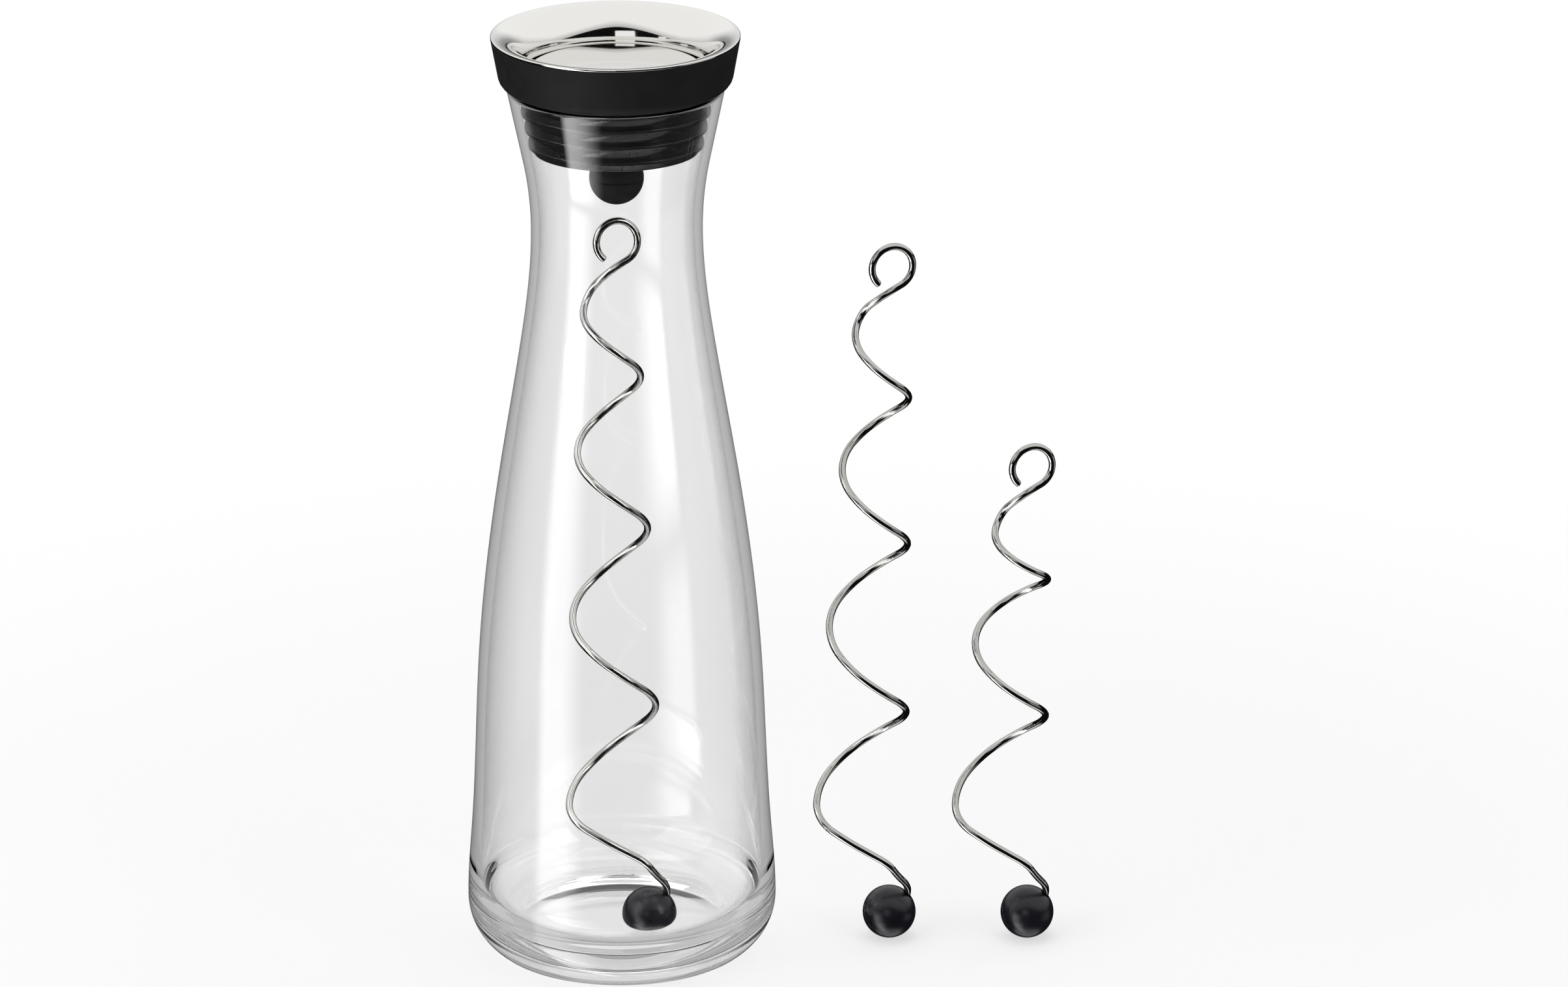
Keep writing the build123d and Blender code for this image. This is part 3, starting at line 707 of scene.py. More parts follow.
class INFUSER_OT_carafe(Operator):
    """Blows the glass carafe"""

    bl_idname = "infuser.carafe"
    bl_label = "Glass carafe"

    def execute(self, context):
        sizes = context.scene.infuser_carafe
        flare = Vector((sin(sizes.mouth_flare), 0, cos(sizes.mouth_flare)))
        flare_z = sizes.throat_z + sizes.mouth_curve * sin(sizes.mouth_flare)
        flare_radius = mouth_radius(sizes, flare_z)
        rim_radius = mouth_radius(sizes, sizes.mouth_z)
        inner_base = sizes.base_radius - sizes.base_wall
        corner_z = sizes.floor + sizes.floor_corner
        foot = at(sizes.foot_radius, 0)
        base = at(sizes.base_radius, sizes.base_z)
        ring = at(sizes.foot_radius - sizes.foot_ring, 0)
        punt = at(0, sizes.punt)
        outside = side_stations([
            (sizes.base_radius, sizes.base_z),
            (sizes.flank_radius, sizes.flank_z),
            (sizes.belly_radius, sizes.belly_z),
            (sizes.shoulder_radius, sizes.shoulder_z),
            (sizes.neck_radius, sizes.neck_z),
            (sizes.throat_radius, sizes.throat_z),
        ])
        inside = side_stations([
            (inner_base, corner_z),
            (sizes.flank_radius - sizes.body_wall, sizes.flank_z),
            (sizes.belly_radius - sizes.body_wall, sizes.belly_z),
            (sizes.shoulder_radius - sizes.body_wall, sizes.shoulder_z),
            (sizes.neck_radius - sizes.neck_wall, sizes.neck_z),
            (sizes.throat_radius - sizes.neck_wall, sizes.throat_z),
        ])
        rim_corners = (at(rim_radius, sizes.mouth_z), at(rim_radius - sizes.neck_wall, sizes.mouth_z))
        section = draw_section(
            [
                (punt, None, OUT),
                (ring, arc_end(punt, OUT, ring), None),
                (foot, None, -arc_end(base, DOWN, foot)),
                *outside,
                (at(flare_radius, flare_z), flare, None),
                *rim_corners,
                (at(flare_radius - sizes.neck_wall, flare_z), None, -flare),
                *reverse(inside),
                (at(inner_base - sizes.floor_corner, sizes.floor), INWARD, None),
                at(0, sizes.floor),
            ],
            rounds=[
                *((corner, sizes.rim_round) for corner in rim_corners),
                *((corner, sizes.foot_round) for corner in (foot, ring)),
            ],
            steps=14,
        )
        glass = turn(section, MIRROR_STEPS)
        make_piece(glass, "carafe_glass", "carafe", "glass_carafe", clear_blown_glass)
        return {"FINISHED"}


class INFUSER_OT_silicone(Operator):
    """Moulds the ribbed seal and the collar of the closure"""

    bl_idname = "infuser.silicone"
    bl_label = "Seal and collar"

    def execute(self, context):
        sizes = context.scene.infuser_closure
        levels = Levels(context.scene)
        top_lip = levels.mouth - sizes.lip_land
        low_lip = levels.stopper + sizes.lip_lead + sizes.lip_land
        edges, lips = [], []
        for lip in range(sizes.lips):
            height = top_lip + (low_lip - top_lip) * lip / (sizes.lips - 1)
            reach = levels.bore(height) - sizes.lip_gap
            if lip > 0:
                lips.append(at(reach - sizes.lip_depth, height + sizes.lip_land + sizes.lip_undercut))
                lips.append(at(reach, height + sizes.lip_land))
                edges.append(lips[-1])
            lips.append(at(reach, height))
            edges.append(lips[-1])
            tail = height - sizes.lip_lead
            lips.append(at(levels.bore(tail) - sizes.lip_gap - sizes.lip_depth, tail))
        seal_top_radius = levels.bore(top_lip) - sizes.lip_gap
        foot = at(levels.cage_radius + sizes.seal_wall, levels.stopper)
        section = draw_section(
            [
                at(levels.cage_radius, levels.seal_top),
                at(seal_top_radius, levels.seal_top),
                *lips,
                foot,
                at(levels.cage_radius, levels.stopper),
            ],
            rounds=[*((edge, sizes.lip_round) for edge in edges), (foot, sizes.seal_round)],
            closed=True,
        )
        seal = turn(section, ROUND_STEPS)
        make_piece(seal, "seal_sleeve", "closure", "rib_seal", smooth_silicone)

        bore = levels.tube_radius + sizes.collar_gap
        top = at(levels.rim_radius, levels.rim - sizes.sheet - sizes.collar_gap)
        collar_foot = at(
            mouth_radius(levels.carafe, levels.mouth) + sizes.collar_overhang,
            levels.mouth + sizes.rim_gap,
        )
        section = draw_section(
            [
                at(bore, levels.seal_top),
                (at(bore, levels.bell), None, UP),
                (top, OUT, None),
                collar_foot,
                at(seal_top_radius, levels.mouth + sizes.rim_gap),
                at(seal_top_radius, levels.seal_top),
            ],
            rounds=[(collar_foot, sizes.collar_round), (top, sizes.collar_edge)],
            closed=True,
        )
        collar = turn(section, ROUND_STEPS)
        make_piece(collar, "collar_soft", "closure", "collar_ring", matte_silicone)
        return {"FINISHED"}


class INFUSER_OT_cage(Operator):
    """Moulds the cage with the seat and the guide ring"""

    bl_idname = "infuser.cage"
    bl_label = "Valve cage"

    def execute(self, context):
        sizes = context.scene.infuser_closure
        levels = Levels(context.scene)
        edges = [
            at(levels.passage_radius, levels.stopper),
            at(levels.passage_radius, levels.seat),
            at(levels.tube_radius, levels.seat),
            at(levels.tube_radius, levels.seal_top),
            at(levels.cage_radius, levels.seal_top),
            at(levels.cage_radius, levels.stopper),
        ]
        rounds = [(edges[0], sizes.cage_round), (edges[1], sizes.seat_round)]
        cage = turn(draw_section(edges, rounds, closed=True), ROUND_STEPS)
        guide_z = levels.seat - sizes.guide_depth
        ring_radius = sizes.guide_radius + sizes.guide_wall
        corners = [
            at(sizes.guide_radius, guide_z),
            at(ring_radius, guide_z),
            at(ring_radius, guide_z + sizes.guide_height),
            at(sizes.guide_radius, guide_z + sizes.guide_height),
        ]
        rounds = [(corner, sizes.seat_round) for corner in corners]
        join(cage, turn(draw_section(corners, rounds, closed=True), SMALL_STEPS))
        inner = ring_radius - sizes.guide_wall / 2
        outer = levels.passage_radius + sizes.cage_wall / 2
        middle = Vector(((outer + inner) / 2, 0, guide_z + sizes.guide_height / 2))
        for spoke in range(sizes.spokes):
            arm = bmesh.new()
            bmesh.ops.create_cube(arm, size=1)
            bmesh.ops.scale(arm, vec=(outer - inner, sizes.spoke_width, sizes.guide_height), verts=arm.verts)
            lengthways = [
                edge for edge in arm.edges if abs(edge.verts[0].co.x - edge.verts[1].co.x) > sizes.spoke_round
            ]
            bmesh.ops.bevel(
                arm,
                geom=lengthways,
                offset=sizes.spoke_round,
                segments=3,
                profile=0.5,
                affect="EDGES",
                material=-1,
            )
            bmesh.ops.translate(arm, vec=middle, verts=arm.verts)
            turned = Matrix.Rotation(2 * pi * (spoke + 0.5) / sizes.spokes, 3, "Z")
            bmesh.ops.rotate(arm, cent=(0, 0, 0), matrix=turned, verts=arm.verts)
            join(cage, arm)
        make_piece(cage, "cage_moulding", "closure", "valve_cage", moulded_plastic)
        return {"FINISHED"}


class INFUSER_OT_funnel(Operator):
    """Draws the steel pouring funnel"""

    bl_idname = "infuser.funnel"
    bl_label = "Pouring funnel"

    def execute(self, context):
        sizes = context.scene.infuser_closure
        levels = Levels(context.scene)
        rim = [at(levels.rim_radius, levels.rim), at(levels.rim_radius, levels.rim - sizes.sheet)]
        section = draw_section(
            [
                at(levels.funnel_radius, levels.seat),
                (at(levels.funnel_radius, levels.bell), None, UP),
                (rim[0], OUT, None),
                (rim[1], None, INWARD),
                (at(levels.tube_radius, levels.bell), DOWN, None),
                at(levels.tube_radius, levels.seat),
            ],
            rounds=[(corner, sizes.rim_round) for corner in rim],
            steps=22,
            closed=True,
        )
        funnel = turn(section, MIRROR_STEPS)
        make_piece(funnel, "funnel_bell", "closure", "pouring_funnel", mirror_stainless)
        return {"FINISHED"}


class INFUSER_OT_plate(Operator):
    """Presses the closing plate, and moulds its carrier and its gasket"""

    bl_idname = "infuser.plate"
    bl_label = "Closing plate"

    def execute(self, context):
        sizes = context.scene.infuser_valve
        sheet = context.scene.infuser_closure.sheet
        levels = Levels(context.scene)
        crown = at(0, levels.plate_top)
        edge = at(levels.plate_radius, levels.plate_edge)
        skirt = at(levels.plate_radius, levels.seat + sizes.skirt_gap)
        under_crown = at(0, levels.plate_top - sheet)
        under_edge = at(levels.gasket_radius, levels.plate_edge - sheet)
        under_way = arc_end(under_crown, OUT, under_edge)
        section = draw_section(
            [
                (crown, None, OUT),
                (edge, arc_end(crown, OUT, edge), None),
                skirt,
                at(levels.gasket_radius, levels.seat + sizes.skirt_gap),
                (under_edge, None, -under_way),
                (under_crown, INWARD, None),
            ],
            rounds=[(edge, sizes.plate_round), (skirt, sizes.skirt_round)],
            steps=24,
        )
        plate = turn(section, MIRROR_STEPS)
        make_piece(plate, "plate_cap", "valve", "closing_plate", mirror_stainless)

        boss_foot = levels.gasket_top - sizes.boss_length
        stem_bore = sizes.stem_radius + sizes.fit_gap
        boss_corner = at(sizes.boss_radius, boss_foot)
        boss_root = at(sizes.boss_radius, levels.gasket_top)
        section = draw_section(
            [
                (under_crown, None, OUT),
                (under_edge, under_way, None),
                at(levels.gasket_radius, levels.gasket_top),
                boss_root,
                boss_corner,
                at(stem_bore, boss_foot),
                at(stem_bore, levels.gasket_top),
                at(0, levels.gasket_top),
            ],
            rounds=[(boss_corner, sizes.boss_round), (boss_root, sizes.boss_fillet)],
        )
        carrier = turn(section, HIDDEN_STEPS)
        make_piece(carrier, "plate_moulding", "valve", "plate_carrier", moulded_plastic)

        hole = levels.passage_radius - sizes.gasket_inset
        corners = [
            at(hole, levels.seat),
            at(levels.gasket_radius, levels.seat),
            at(levels.gasket_radius, levels.gasket_top),
            at(hole, levels.gasket_top),
        ]
        rounds = [(corner, sizes.gasket_round) for corner in corners[:2]]
        gasket = turn(draw_section(corners, rounds, closed=True), HIDDEN_STEPS)
        make_piece(gasket, "gasket_ring", "valve", "plate_gasket", matte_silicone)
        return {"FINISHED"}


def cut_seam(ball, centre, axis, radius, sizes):
    """Presses the shallow moulding seam round a ball."""
    for level in (-sizes.seam_width / 2, 0, sizes.seam_width / 2):
        bmesh.ops.bisect_plane(
            ball,
            geom=[*ball.verts, *ball.edges, *ball.faces],
            dist=LINE_WELD,
            plane_co=centre + axis * level,
            plane_no=axis,
        )
    # The seam takes the points on its plane that lie on the ball's outside, not in its hollow or its bore.
    outside = 0.98 * radius
    seam = []
    for vert in ball.verts:
        spoke = vert.co - centre
        if abs(spoke.dot(axis)) < WELD and spoke.length > outside:
            seam.append(vert)
    share = 1 - sizes.seam_depth / radius
    bmesh.ops.scale(ball, vec=(share, share, share), space=Matrix.Translation(-centre), verts=seam)


class INFUSER_OT_weight(Operator):
    """Moulds the skin of the weight, and polishes the stem, its nut and the weight's core"""

    bl_idname = "infuser.weight"
    bl_label = "Weight and stem"

    def execute(self, context):
        sizes = context.scene.infuser_valve
        outer, inner = sizes.weight_radius, sizes.weight_radius - sizes.weight_skin + sizes.fit_gap
        bore = sizes.stem_radius + sizes.fit_gap
        mouth = bore + sizes.bore_lead
        mouth_z, inner_z = sqrt(outer**2 - mouth**2), sqrt(inner**2 - bore**2)
        section = draw_section([
            (at(0, -outer), None, OUT),
            (at(outer, 0), UP, UP),
            (at(mouth, mouth_z), Vector((-mouth_z, 0, mouth)).normalized(), None),
            at(bore, mouth_z - sizes.bore_lead),
            (at(bore, inner_z), None, Vector((inner_z, 0, -bore)).normalized()),
            (at(inner, 0), DOWN, DOWN),
            (at(0, -inner), INWARD, None),
        ])
        centre = Vector((0, 0, sizes.weight_z))
        ball = turn(section, SMALL_STEPS, Matrix.Translation(centre))
        cut_seam(ball, centre, UP, outer, context.scene.infuser_skewers)
        make_piece(ball, "weight_skin", "valve", "weight_cover", matte_silicone)
        for node in ("valve_stem", "stem_nut", "weight_core"):
            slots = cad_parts[node].data.materials
            slots.clear()
            slots.append(finish(mirror_stainless))
        return {"FINISHED"}


def skewers(sizes):
    """Name, body of the wire, body of the ball, stand, height and turns of each skewer."""
    ball_z = sizes.ball_radius
    eye_centre = sizes.long_height - sizes.ball_radius - sizes.eye_diameter / 2
    rise = sqrt(eye_centre**2 - sizes.inner_offset**2 - sizes.inner_forward**2)
    along = Vector((-sizes.inner_offset, sizes.inner_forward, rise)).normalized()
    across = Vector((rise, 0, sizes.inner_offset)).normalized()
    leaning = Matrix((across, along.cross(across), along)).transposed().to_4x4()
    inner_ball = Matrix.Translation((sizes.inner_offset, -sizes.inner_forward, sizes.inner_stand + ball_z))
    long_ball = Matrix.Translation((sizes.long_offset, 0, ball_z))
    short_ball = Matrix.Translation((sizes.short_offset, 0, ball_z))
    long = (sizes.long_height, sizes.long_turns)
    short = (sizes.short_height, sizes.short_turns)
    return (
        ("inner_skewer", "inner_skewer", "inner_skewer", inner_ball @ leaning, *long),
        ("long_skewer", "long_wire", "long_ball", long_ball, *long),
        ("short_skewer", "short_wire", "short_ball", short_ball, *short),
    )


def tail_end(sizes):
    """Place where the wire stops inside its ball, from the ball's centre, and its direction there."""
    return Vector(sizes.tail_stop) * sizes.ball_radius, Vector(sizes.tail_slope).normalized()


def spiral_point(sizes, height, turns, turn_number):
    """Point of the spiral so many turns up from its lowest left side, from the ball's centre."""
    share = turn_number / turns
    radius = sizes.foot_radius + (sizes.head_radius - sizes.foot_radius) * share
    middle = sizes.foot_shift + (sizes.head_shift - sizes.foot_shift) * share
    foot = sizes.foot_height - sizes.ball_radius
    head = height - sizes.head_drop - sizes.ball_radius
    tightening = (foot + sizes.foot_pitch * turns - head) / turns**2
    swing = 2 * pi * turn_number
    return Vector((
        middle - radius * cos(swing),
        radius * sin(swing),
        foot + sizes.foot_pitch * turn_number - tightening * turn_number**2,
    ))


def wire_places(sizes, height, turns):
    """Places and directions along a wire, from the free end of its eye to the straight end of its tail."""
    eye_arcs = 4
    turn_arcs = 4
    # The spiral's direction is taken between points this share of a turn above and below.
    small_turn = 0.001
    places = []
    eye_radius = sizes.eye_diameter / 2 - sizes.wire_radius
    across = Vector((cos(sizes.eye_turn), sin(sizes.eye_turn), 0))
    eye_centre = UP * (height - sizes.ball_radius - sizes.eye_diameter / 2)
    for arc in range(eye_arcs + 1):
        swing = sizes.eye_tip + (sizes.eye_exit - sizes.eye_tip) * arc / eye_arcs
        place = eye_centre + (across * cos(swing) + UP * sin(swing)) * eye_radius
        places.append((place, across * sin(swing) - UP * cos(swing)))
    for arc in range(turns * turn_arcs + 1):
        number = turns - arc / turn_arcs
        above = spiral_point(sizes, height, turns, number + small_turn)
        below = spiral_point(sizes, height, turns, number - small_turn)
        places.append((spiral_point(sizes, height, turns, number), (below - above).normalized()))
    for place, way in ((sizes.tail_over, sizes.tail_over_way), (sizes.tail_down, sizes.tail_down_way)):
        places.append((Vector(place) * sizes.ball_radius, Vector(way).normalized()))
    stop, tail = tail_end(sizes)
    places.append((stop - tail * sizes.tail_straight, tail))
    return places


def arcs_between(start, start_way, end, end_way):
    """Place and direction where two arcs meet that lead from one place to another."""
    span = end - start
    ways = start_way + end_way
    bend = 2 * (1 - start_way.dot(end_way))
    reach = (sqrt(span.dot(ways) ** 2 + bend * span.dot(span)) - span.dot(ways)) / bend
    before = start + start_way * reach
    after = end - end_way * reach
    return (before + after) / 2, (after - before).normalized()


class INFUSER_OT_wires(Operator):
    """Bends the wires of the skewers"""

    bl_idname = "infuser.wires"
    bl_label = "Skewer wires"

    def execute(self, context):
        sizes = context.scene.infuser_skewers
        for name, body, _, stand, height, turns in skewers(sizes):
            places = wire_places(sizes, height, turns)
            stations = [(*places[0], places[0][1])]
            for (start, start_way), (end, end_way) in zip(places, places[1:]):
                middle, way = arcs_between(start, start_way, end, end_way)
                stations += [(middle, way, way), (end, end_way, end_way)]
            # The wire ends in a straight run into its ball.
            stations[-1] = (*stations[-1][:2], None)
            stations.append((tail_end(sizes)[0], None, None))
            rod = draw_curve(stations, steps=9, tube=sizes.wire_radius)
            # The free end's cap is drawn in triangles, which become one round face with a rounded edge.
            tip = places[0][0]
            cap = []
            for face in rod.faces:
                if len(face.verts) == 3 and (face.calc_center_median() - tip).length < sizes.wire_radius:
                    cap.append(face)
            cap = bmesh.ops.dissolve_faces(rod, faces=cap)["region"][0]
            bmesh.ops.bevel(
                rod,
                geom=list(cap.edges),
                offset=sizes.wire_end,
                segments=4,
                profile=0.5,
                affect="EDGES",
                material=-1,
            )
            bmesh.ops.recalc_face_normals(rod, faces=rod.faces)
            bmesh.ops.transform(rod, matrix=stand, verts=rod.verts)
            make_piece(rod, f"{name}_rod", body, f"{name}_wire", drawn_wire)
        return {"FINISHED"}


class INFUSER_OT_balls(Operator):
    """Moulds the push-on balls of the skewers"""

    bl_idname = "infuser.balls"
    bl_label = "Skewer balls"

    def execute(self, context):
        sizes = context.scene.infuser_skewers
        radius = sizes.ball_radius
        stop, tail = tail_end(sizes)
        depth = stop.dot(tail) + sqrt(stop.dot(tail) ** 2 - stop.dot(stop) + radius**2)
        entry = (stop - tail * depth).normalized()
        mouth = sizes.wire_radius / -entry.dot(tail) + sizes.bore_lead
        mouth_z = sqrt(radius**2 - mouth**2)
        seam_axis = Vector(sizes.seam_facing).normalized()
        for name, _, body, stand, _, _ in skewers(sizes):
            section = draw_section([
                (at(0, -radius), None, OUT),
                (at(radius, 0), UP, UP),
                (at(mouth, mouth_z), Vector((-mouth_z, 0, mouth)).normalized(), None),
            ])
            ball = turn(section, SMALL_STEPS, entry.to_track_quat("Z", "Y").to_matrix().to_4x4())
            # The bore runs from where the wire enters the ball along the wire's straight end.
            rim = [edge for edge in ball.edges if edge.is_boundary]
            walls = bmesh.ops.extrude_edge_only(ball, edges=rim)["geom"]
            foot = [item for item in walls if isinstance(item, bmesh.types.BMVert)]
            bmesh.ops.translate(ball, vec=tail * depth, verts=foot)
            bmesh.ops.holes_fill(ball, edges=[edge for edge in ball.edges if edge.is_boundary])
            bmesh.ops.recalc_face_normals(ball, faces=ball.faces)
            bmesh.ops.transform(ball, matrix=stand, verts=ball.verts)
            cut_seam(ball, stand.to_translation(), seam_axis, radius, sizes)
            make_piece(ball, f"{name}_foot", body, f"{name}_ball", satin_silicone)
        return {"FINISHED"}


def studio_paper(settings):
    """White paper that keeps the soft shadow near the object and runs out to plain white."""
    # Mirrors look past it into the studio.
    material, tree = start_material("studio_paper")
    place = add_node(tree, "ShaderNodeTexCoord").outputs["Object"]
    away = add_node(
        tree, "ShaderNodeVectorMath", {0: place, 1: (settings.shadow_middle, 0, 0)}, operation="DISTANCE"
    )
    white_share = add_node(
        tree,
        "ShaderNodeMapRange",
        {
            "Value": away.outputs["Value"],
            "From Min": settings.shadow_near,
            "From Max": settings.shadow_far,
            "To Min": settings.shadow_lift,
        },
        interpolation_type="SMOOTHSTEP",
    )
    path = add_node(tree, "ShaderNodeLightPath")
    seen = add_node(
        tree, "ShaderNodeMath", {0: 1.0, 1: path.outputs["Is Diffuse Ray"]}, operation="SUBTRACT"
    )
    share = add_node(tree, "ShaderNodeMath", {0: white_share, 1: seen}, operation="MULTIPLY")
    mirrored = add_node(
        tree, "ShaderNodeMath", {0: path.outputs["Glossy Depth"], 1: MIRRORED_AFTER}, operation="GREATER_THAN"
    )
    paper = add_node(tree, "ShaderNodeBsdfDiffuse", {"Color": bpy.context.scene.infuser_finishes.paper})
    white = add_node(tree, "ShaderNodeEmission", {"Strength": 1.0})
    clear = add_node(tree, "ShaderNodeBsdfTransparent")
    sheet = add_node(tree, "ShaderNodeMixShader", {0: share, 1: paper, 2: white})
    table = add_node(tree, "ShaderNodeMixShader", {0: mirrored, 1: sheet, 2: clear})
    add_node(tree, "ShaderNodeOutputMaterial", {"Surface": table})
    return material


def bright_field(tree, value, low, high, low_edge, high_edge):
    """Share that is 1 where a value lies between two limits, with an edge of its own width at each."""
    rising, falling = (
        add_node(
            tree,
            "ShaderNodeMapRange",
            {"Value": value, "From Min": dark, "From Max": bright},
            interpolation_type="SMOOTHSTEP",
        )
        for dark, bright in ((low, low + low_edge), (high, high - high_edge))
    )
    return add_node(tree, "ShaderNodeMath", {0: rising, 1: falling}, operation="MULTIPLY")


def tent_field(tree, settings, aside, height):
    """Brightness of the studio's white tent, which is dark where it opens."""
    # The opening is high in front of the object and comes down to the horizon at its sides.
    opening = add_node(
        tree,
        "ShaderNodeMapRange",
        {
            "Value": aside,
            "From Max": settings.opening_side,
            "To Min": settings.opening_top,
            "To Max": settings.opening_foot,
        },
        interpolation_type="SMOOTHSTEP",
    )
    above = add_node(tree, "ShaderNodeMath", {0: height, 1: opening}, operation="SUBTRACT")
    tent = add_node(
        tree,
        "ShaderNodeMapRange",
        {"Value": above, "From Min": -settings.opening_edge, "From Max": settings.opening_edge},
        interpolation_type="SMOOTHSTEP",
    )
    # The tent is dimmer along the opening, and behind the object towards the horizon.
    hem = add_node(
        tree,
        "ShaderNodeMapRange",
        {"Value": above, "From Max": settings.hem, "To Min": settings.hem_light, "To Max": 1.0},
        interpolation_type="SMOOTHSTEP",
    )
    behind = add_node(
        tree,
        "ShaderNodeMapRange",
        {"Value": aside, "From Min": settings.dusk_side, "From Max": settings.dusk_back},
    )
    dusk = add_node(
        tree,
        "ShaderNodeMapRange",
        {
            "Value": height,
            "From Min": settings.dusk_low,
            "From Max": settings.dusk_high,
            "To Min": settings.dusk_depth,
            "To Max": 0.0,
        },
    )
    dimming = add_node(tree, "ShaderNodeMath", {0: behind, 1: dusk}, operation="MULTIPLY")
    dimmed = add_node(tree, "ShaderNodeMath", {0: hem, 1: dimming}, operation="SUBTRACT")
    return add_node(tree, "ShaderNodeMath", {0: tent, 1: dimmed}, operation="MULTIPLY")


def light_studio(settings):
    """World of the studio: white to look at, and in mirrors a white tent that opens on soft lights."""
    world = bpy.data.worlds.new("infuser_studio")
    world.use_nodes = True
    world.cycles.sampling_method = "NONE"
    tree = world.node_tree
    tree.nodes.clear()
    path = add_node(tree, "ShaderNodeLightPath")
    reflections = path.outputs["Glossy Depth"]
    place = add_node(tree, "ShaderNodeTexCoord").outputs["Generated"]
    split = add_node(tree, "ShaderNodeSeparateXYZ", {0: place})
    front = add_node(tree, "ShaderNodeMath", {0: split.outputs["Y"], 1: -1.0}, operation="MULTIPLY")
    bearing = add_node(tree, "ShaderNodeMath", {0: split.outputs["X"], 1: front}, operation="ARCTAN2")
    aside = add_node(tree, "ShaderNodeMath", {0: bearing}, operation="ABSOLUTE")
    height = split.outputs["Z"]

    fields = [tent_field(tree, settings, aside, height)]
    for name, brightness, bearings, heights in MIRRORED_LIGHTS:
        sideways = bright_field(tree, bearing, *(radians(bound) for bound in bearings))
        upright = bright_field(tree, height, *heights)
        field = add_node(tree, "ShaderNodeMath", {0: sideways, 1: upright}, operation="MULTIPLY")
        fields.append(
            add_node(tree, "ShaderNodeMath", {0: field, 1: brightness}, operation="MULTIPLY", label=name)
        )
    # Light that runs round inside the glass, bent one to three times, comes out grey at its edges.
    within = add_node(
        tree, "ShaderNodeMath", {0: path.outputs["Transmission Depth"], 1: 2.0, 2: 1.0}, operation="COMPARE"
    )
    glow = add_node(
        tree,
        "ShaderNodeMapRange",
        {
            "Value": aside,
            "From Min": settings.glow_side,
            "From Max": settings.glow_back,
            "To Max": settings.glow_light,
        },
        interpolation_type="SMOOTHSTEP",
    )
    often = add_node(
        tree,
        "ShaderNodeMapRange",
        {
            "Value": reflections,
            "From Min": 1.5,
            "From Max": 3.5,
            "To Min": settings.glass_faint,
            "To Max": settings.glass_grey,
        },
    )
    inside = add_node(tree, "ShaderNodeMath", {0: glow, 1: often}, operation="MAXIMUM")
    fields.append(add_node(tree, "ShaderNodeMath", {0: inside, 1: within}, operation="MULTIPLY"))
    total = settings.opening_light
    for field in fields:
        total = add_node(tree, "ShaderNodeMath", {0: field, 1: total}, operation="MAXIMUM")
    # Light that is led down inside the neck's wall stays there, so the rim is dark under the collar.
    led = add_node(tree, "ShaderNodeMath", {0: reflections, 1: LED_AFTER}, operation="GREATER_THAN")
    led_within = add_node(tree, "ShaderNodeMath", {0: led, 1: within}, operation="MULTIPLY")
    downward = add_node(
        tree,
        "ShaderNodeMapRange",
        {"Value": height, "From Min": -0.7, "From Max": -0.5, "To Min": 1.0, "To Max": 0.0},
    )
    lost = add_node(tree, "ShaderNodeMath", {0: led_within, 1: downward}, operation="MULTIPLY")
    kept = add_node(tree, "ShaderNodeMath", {0: 1.0, 1: lost}, operation="SUBTRACT")
    total = add_node(tree, "ShaderNodeMath", {0: total, 1: kept}, operation="MULTIPLY")

    mirrored, backdrop, ambient = (
        add_node(tree, "ShaderNodeBackground", {"Color": WHITE, "Strength": strength})
        for strength in (total, 1.0, settings.ambient)
    )
    reflected = add_node(
        tree, "ShaderNodeMath", {0: reflections, 1: MIRRORED_AFTER}, operation="GREATER_THAN"
    )
    shown = add_node(tree, "ShaderNodeMixShader", {0: reflected, 1: backdrop, 2: mirrored})
    around = add_node(
        tree, "ShaderNodeMixShader", {0: path.outputs["Is Diffuse Ray"], 1: shown, 2: ambient}
    )
    add_node(tree, "ShaderNodeOutputWorld", {"Surface": around})
    bpy.context.scene.world = world


def lay_floor(settings):
    """Lays the round paper floor."""
    sweep = bmesh.new()
    bmesh.ops.create_circle(sweep, cap_ends=True, segments=SMALL_STEPS, radius=settings.floor_radius)
    bmesh.ops.translate(sweep, vec=(0, 0, -settings.floor_drop), verts=sweep.verts)
    mesh = bpy.data.meshes.new("studio_floor")
    sweep.to_mesh(mesh)
    sweep.free()
    mesh.materials.append(studio_paper(settings))
    floor = bpy.data.objects.new("studio_floor", mesh)
    bpy.context.scene.collection.objects.link(floor)


def hang_softboxes(settings):
    """Hangs the softboxes, which shine on the middle of the picture and don't show in mirrors."""
    middle = Vector(settings.middle)
    for name, place, size, watts in (
        ("key", (-1.25, -0.75, 0.75), (1.3, 1.5), settings.key),
        ("fill", (1.25, -0.9, 0.7), (0.5, 1.3), settings.fill),
        ("top", (0.05, 0.15, 1.5), (1.2, 1.2), settings.top),
    ):
        lamp = bpy.data.lights.new(f"softbox_{name}", "AREA")
        lamp.shape = "RECTANGLE"
        lamp.size, lamp.size_y = size
        lamp.energy = watts
        box = bpy.data.objects.new(f"softbox_{name}", lamp)
        box.location = place
        box.rotation_euler = (middle - Vector(place)).to_track_quat("-Z", "Y").to_euler()
        box.visible_camera = False
        box.visible_glossy = False
        bpy.context.scene.collection.objects.link(box)


def set_camera(settings):
    """Sets the camera in front of the object."""
    camera = bpy.data.cameras.new("camera")
    camera.lens = settings.lens
    camera.clip_end = settings.sight
    holder = bpy.data.objects.new("camera", camera)
    away = Vector((0, -cos(settings.elevation), sin(settings.elevation)))
    holder.location = Vector(settings.middle) + away * settings.distance
    holder.rotation_euler = (pi / 2 - settings.elevation, 0, 0)
    bpy.context.scene.collection.objects.link(holder)
    bpy.context.scene.camera = holder


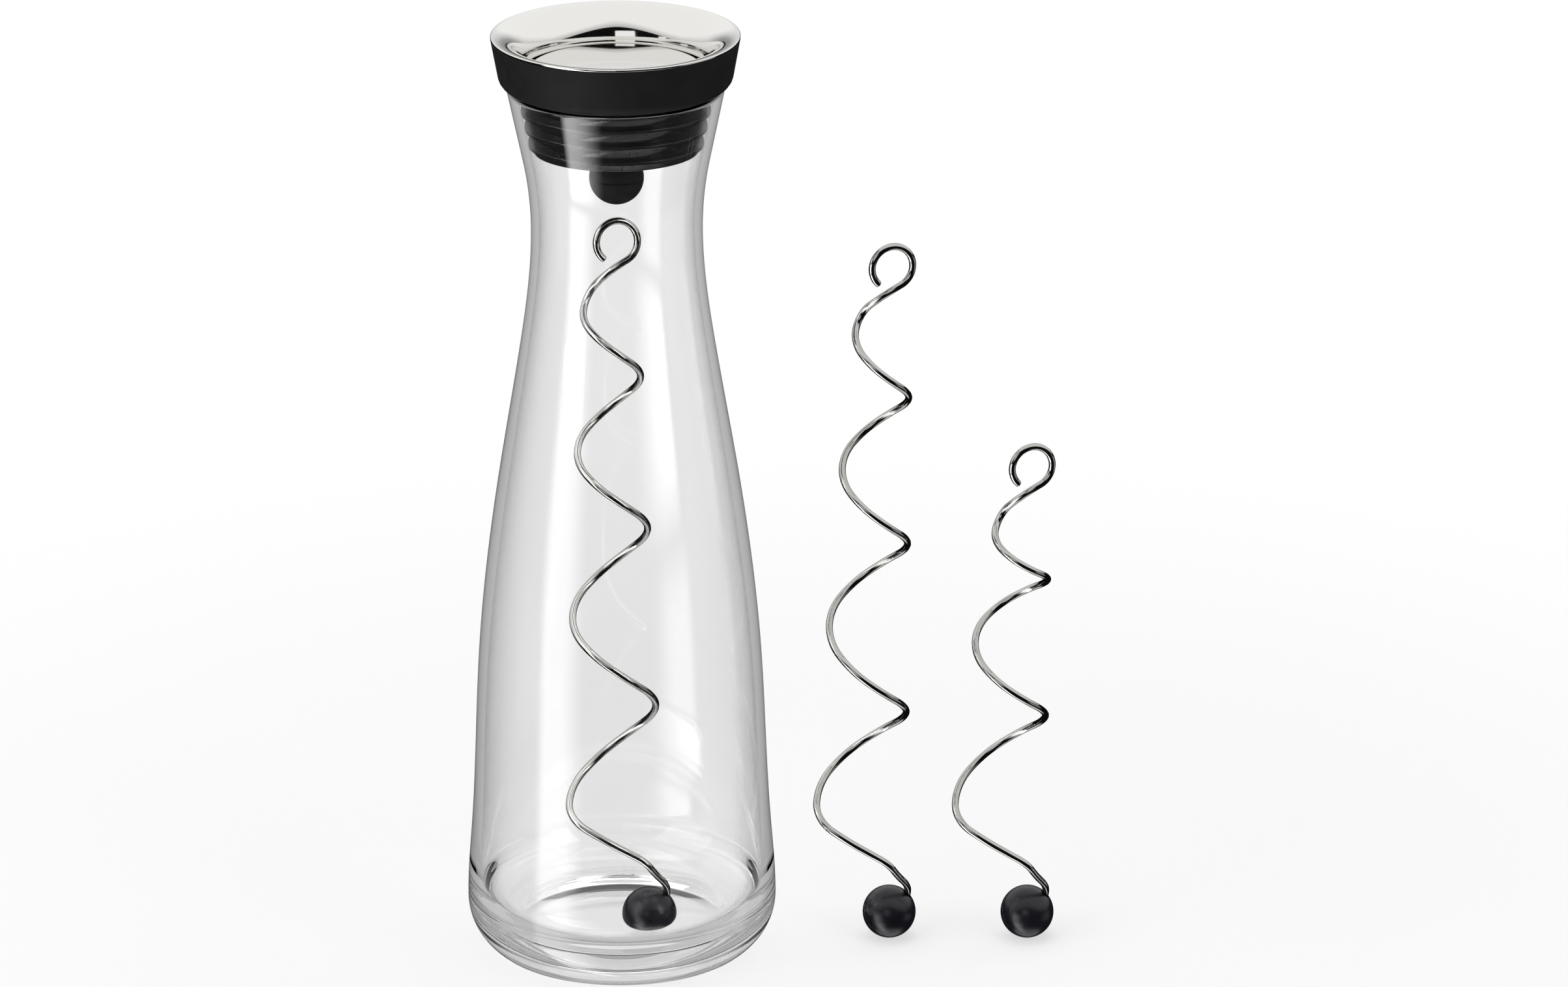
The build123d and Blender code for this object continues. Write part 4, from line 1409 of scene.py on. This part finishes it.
class INFUSER_OT_studio(Operator):
    """Sets up the floor, the light and the camera"""

    bl_idname = "infuser.studio"
    bl_label = "Studio"

    def execute(self, context):
        settings = context.scene.infuser_studio
        lay_floor(settings)
        light_studio(settings)
        hang_softboxes(settings)
        set_camera(settings)
        context.scene.view_settings.view_transform = "Standard"
        return {"FINISHED"}


PIECES = (
    INFUSER_OT_carafe,
    INFUSER_OT_silicone,
    INFUSER_OT_cage,
    INFUSER_OT_funnel,
    INFUSER_OT_plate,
    INFUSER_OT_weight,
    INFUSER_OT_wires,
    INFUSER_OT_balls,
    INFUSER_OT_studio,
)
GROUPS = {
    "infuser_carafe": CarafeSizes,
    "infuser_closure": ClosureSizes,
    "infuser_valve": ValveSizes,
    "infuser_skewers": SkewerSizes,
    "infuser_finishes": Finishes,
    "infuser_studio": StudioSettings,
}


class INFUSER_PT_pitcher(Panel):
    """Lists the pieces of the pitcher"""

    bl_idname = "INFUSER_PT_pitcher"
    bl_label = "Fruit infuser pitcher"
    bl_space_type = "VIEW_3D"
    bl_region_type = "UI"
    bl_category = "Infuser"

    def draw(self, context):
        for piece in PIECES:
            self.layout.operator(piece.bl_idname)
        for group, kind in GROUPS.items():
            box = self.layout.box()
            for name in kind.__annotations__:
                box.prop(getattr(context.scene, group), name)


def register():
    for kind in (*GROUPS.values(), *PIECES, INFUSER_PT_pitcher):
        bpy.utils.register_class(kind)
    for name, kind in GROUPS.items():
        setattr(bpy.types.Scene, name, PointerProperty(type=kind))


def unregister():
    for name in GROUPS:
        delattr(bpy.types.Scene, name)
    for kind in (INFUSER_PT_pitcher, *reversed(PIECES), *GROUPS.values()):
        bpy.utils.unregister_class(kind)


def main():
    register()
    bpy.ops.infuser.carafe()
    bpy.ops.infuser.silicone()
    bpy.ops.infuser.cage()
    bpy.ops.infuser.funnel()
    bpy.ops.infuser.plate()
    bpy.ops.infuser.weight()
    bpy.ops.infuser.wires()
    bpy.ops.infuser.balls()
    bpy.ops.infuser.studio()


if __name__ == "__main__":
    main()
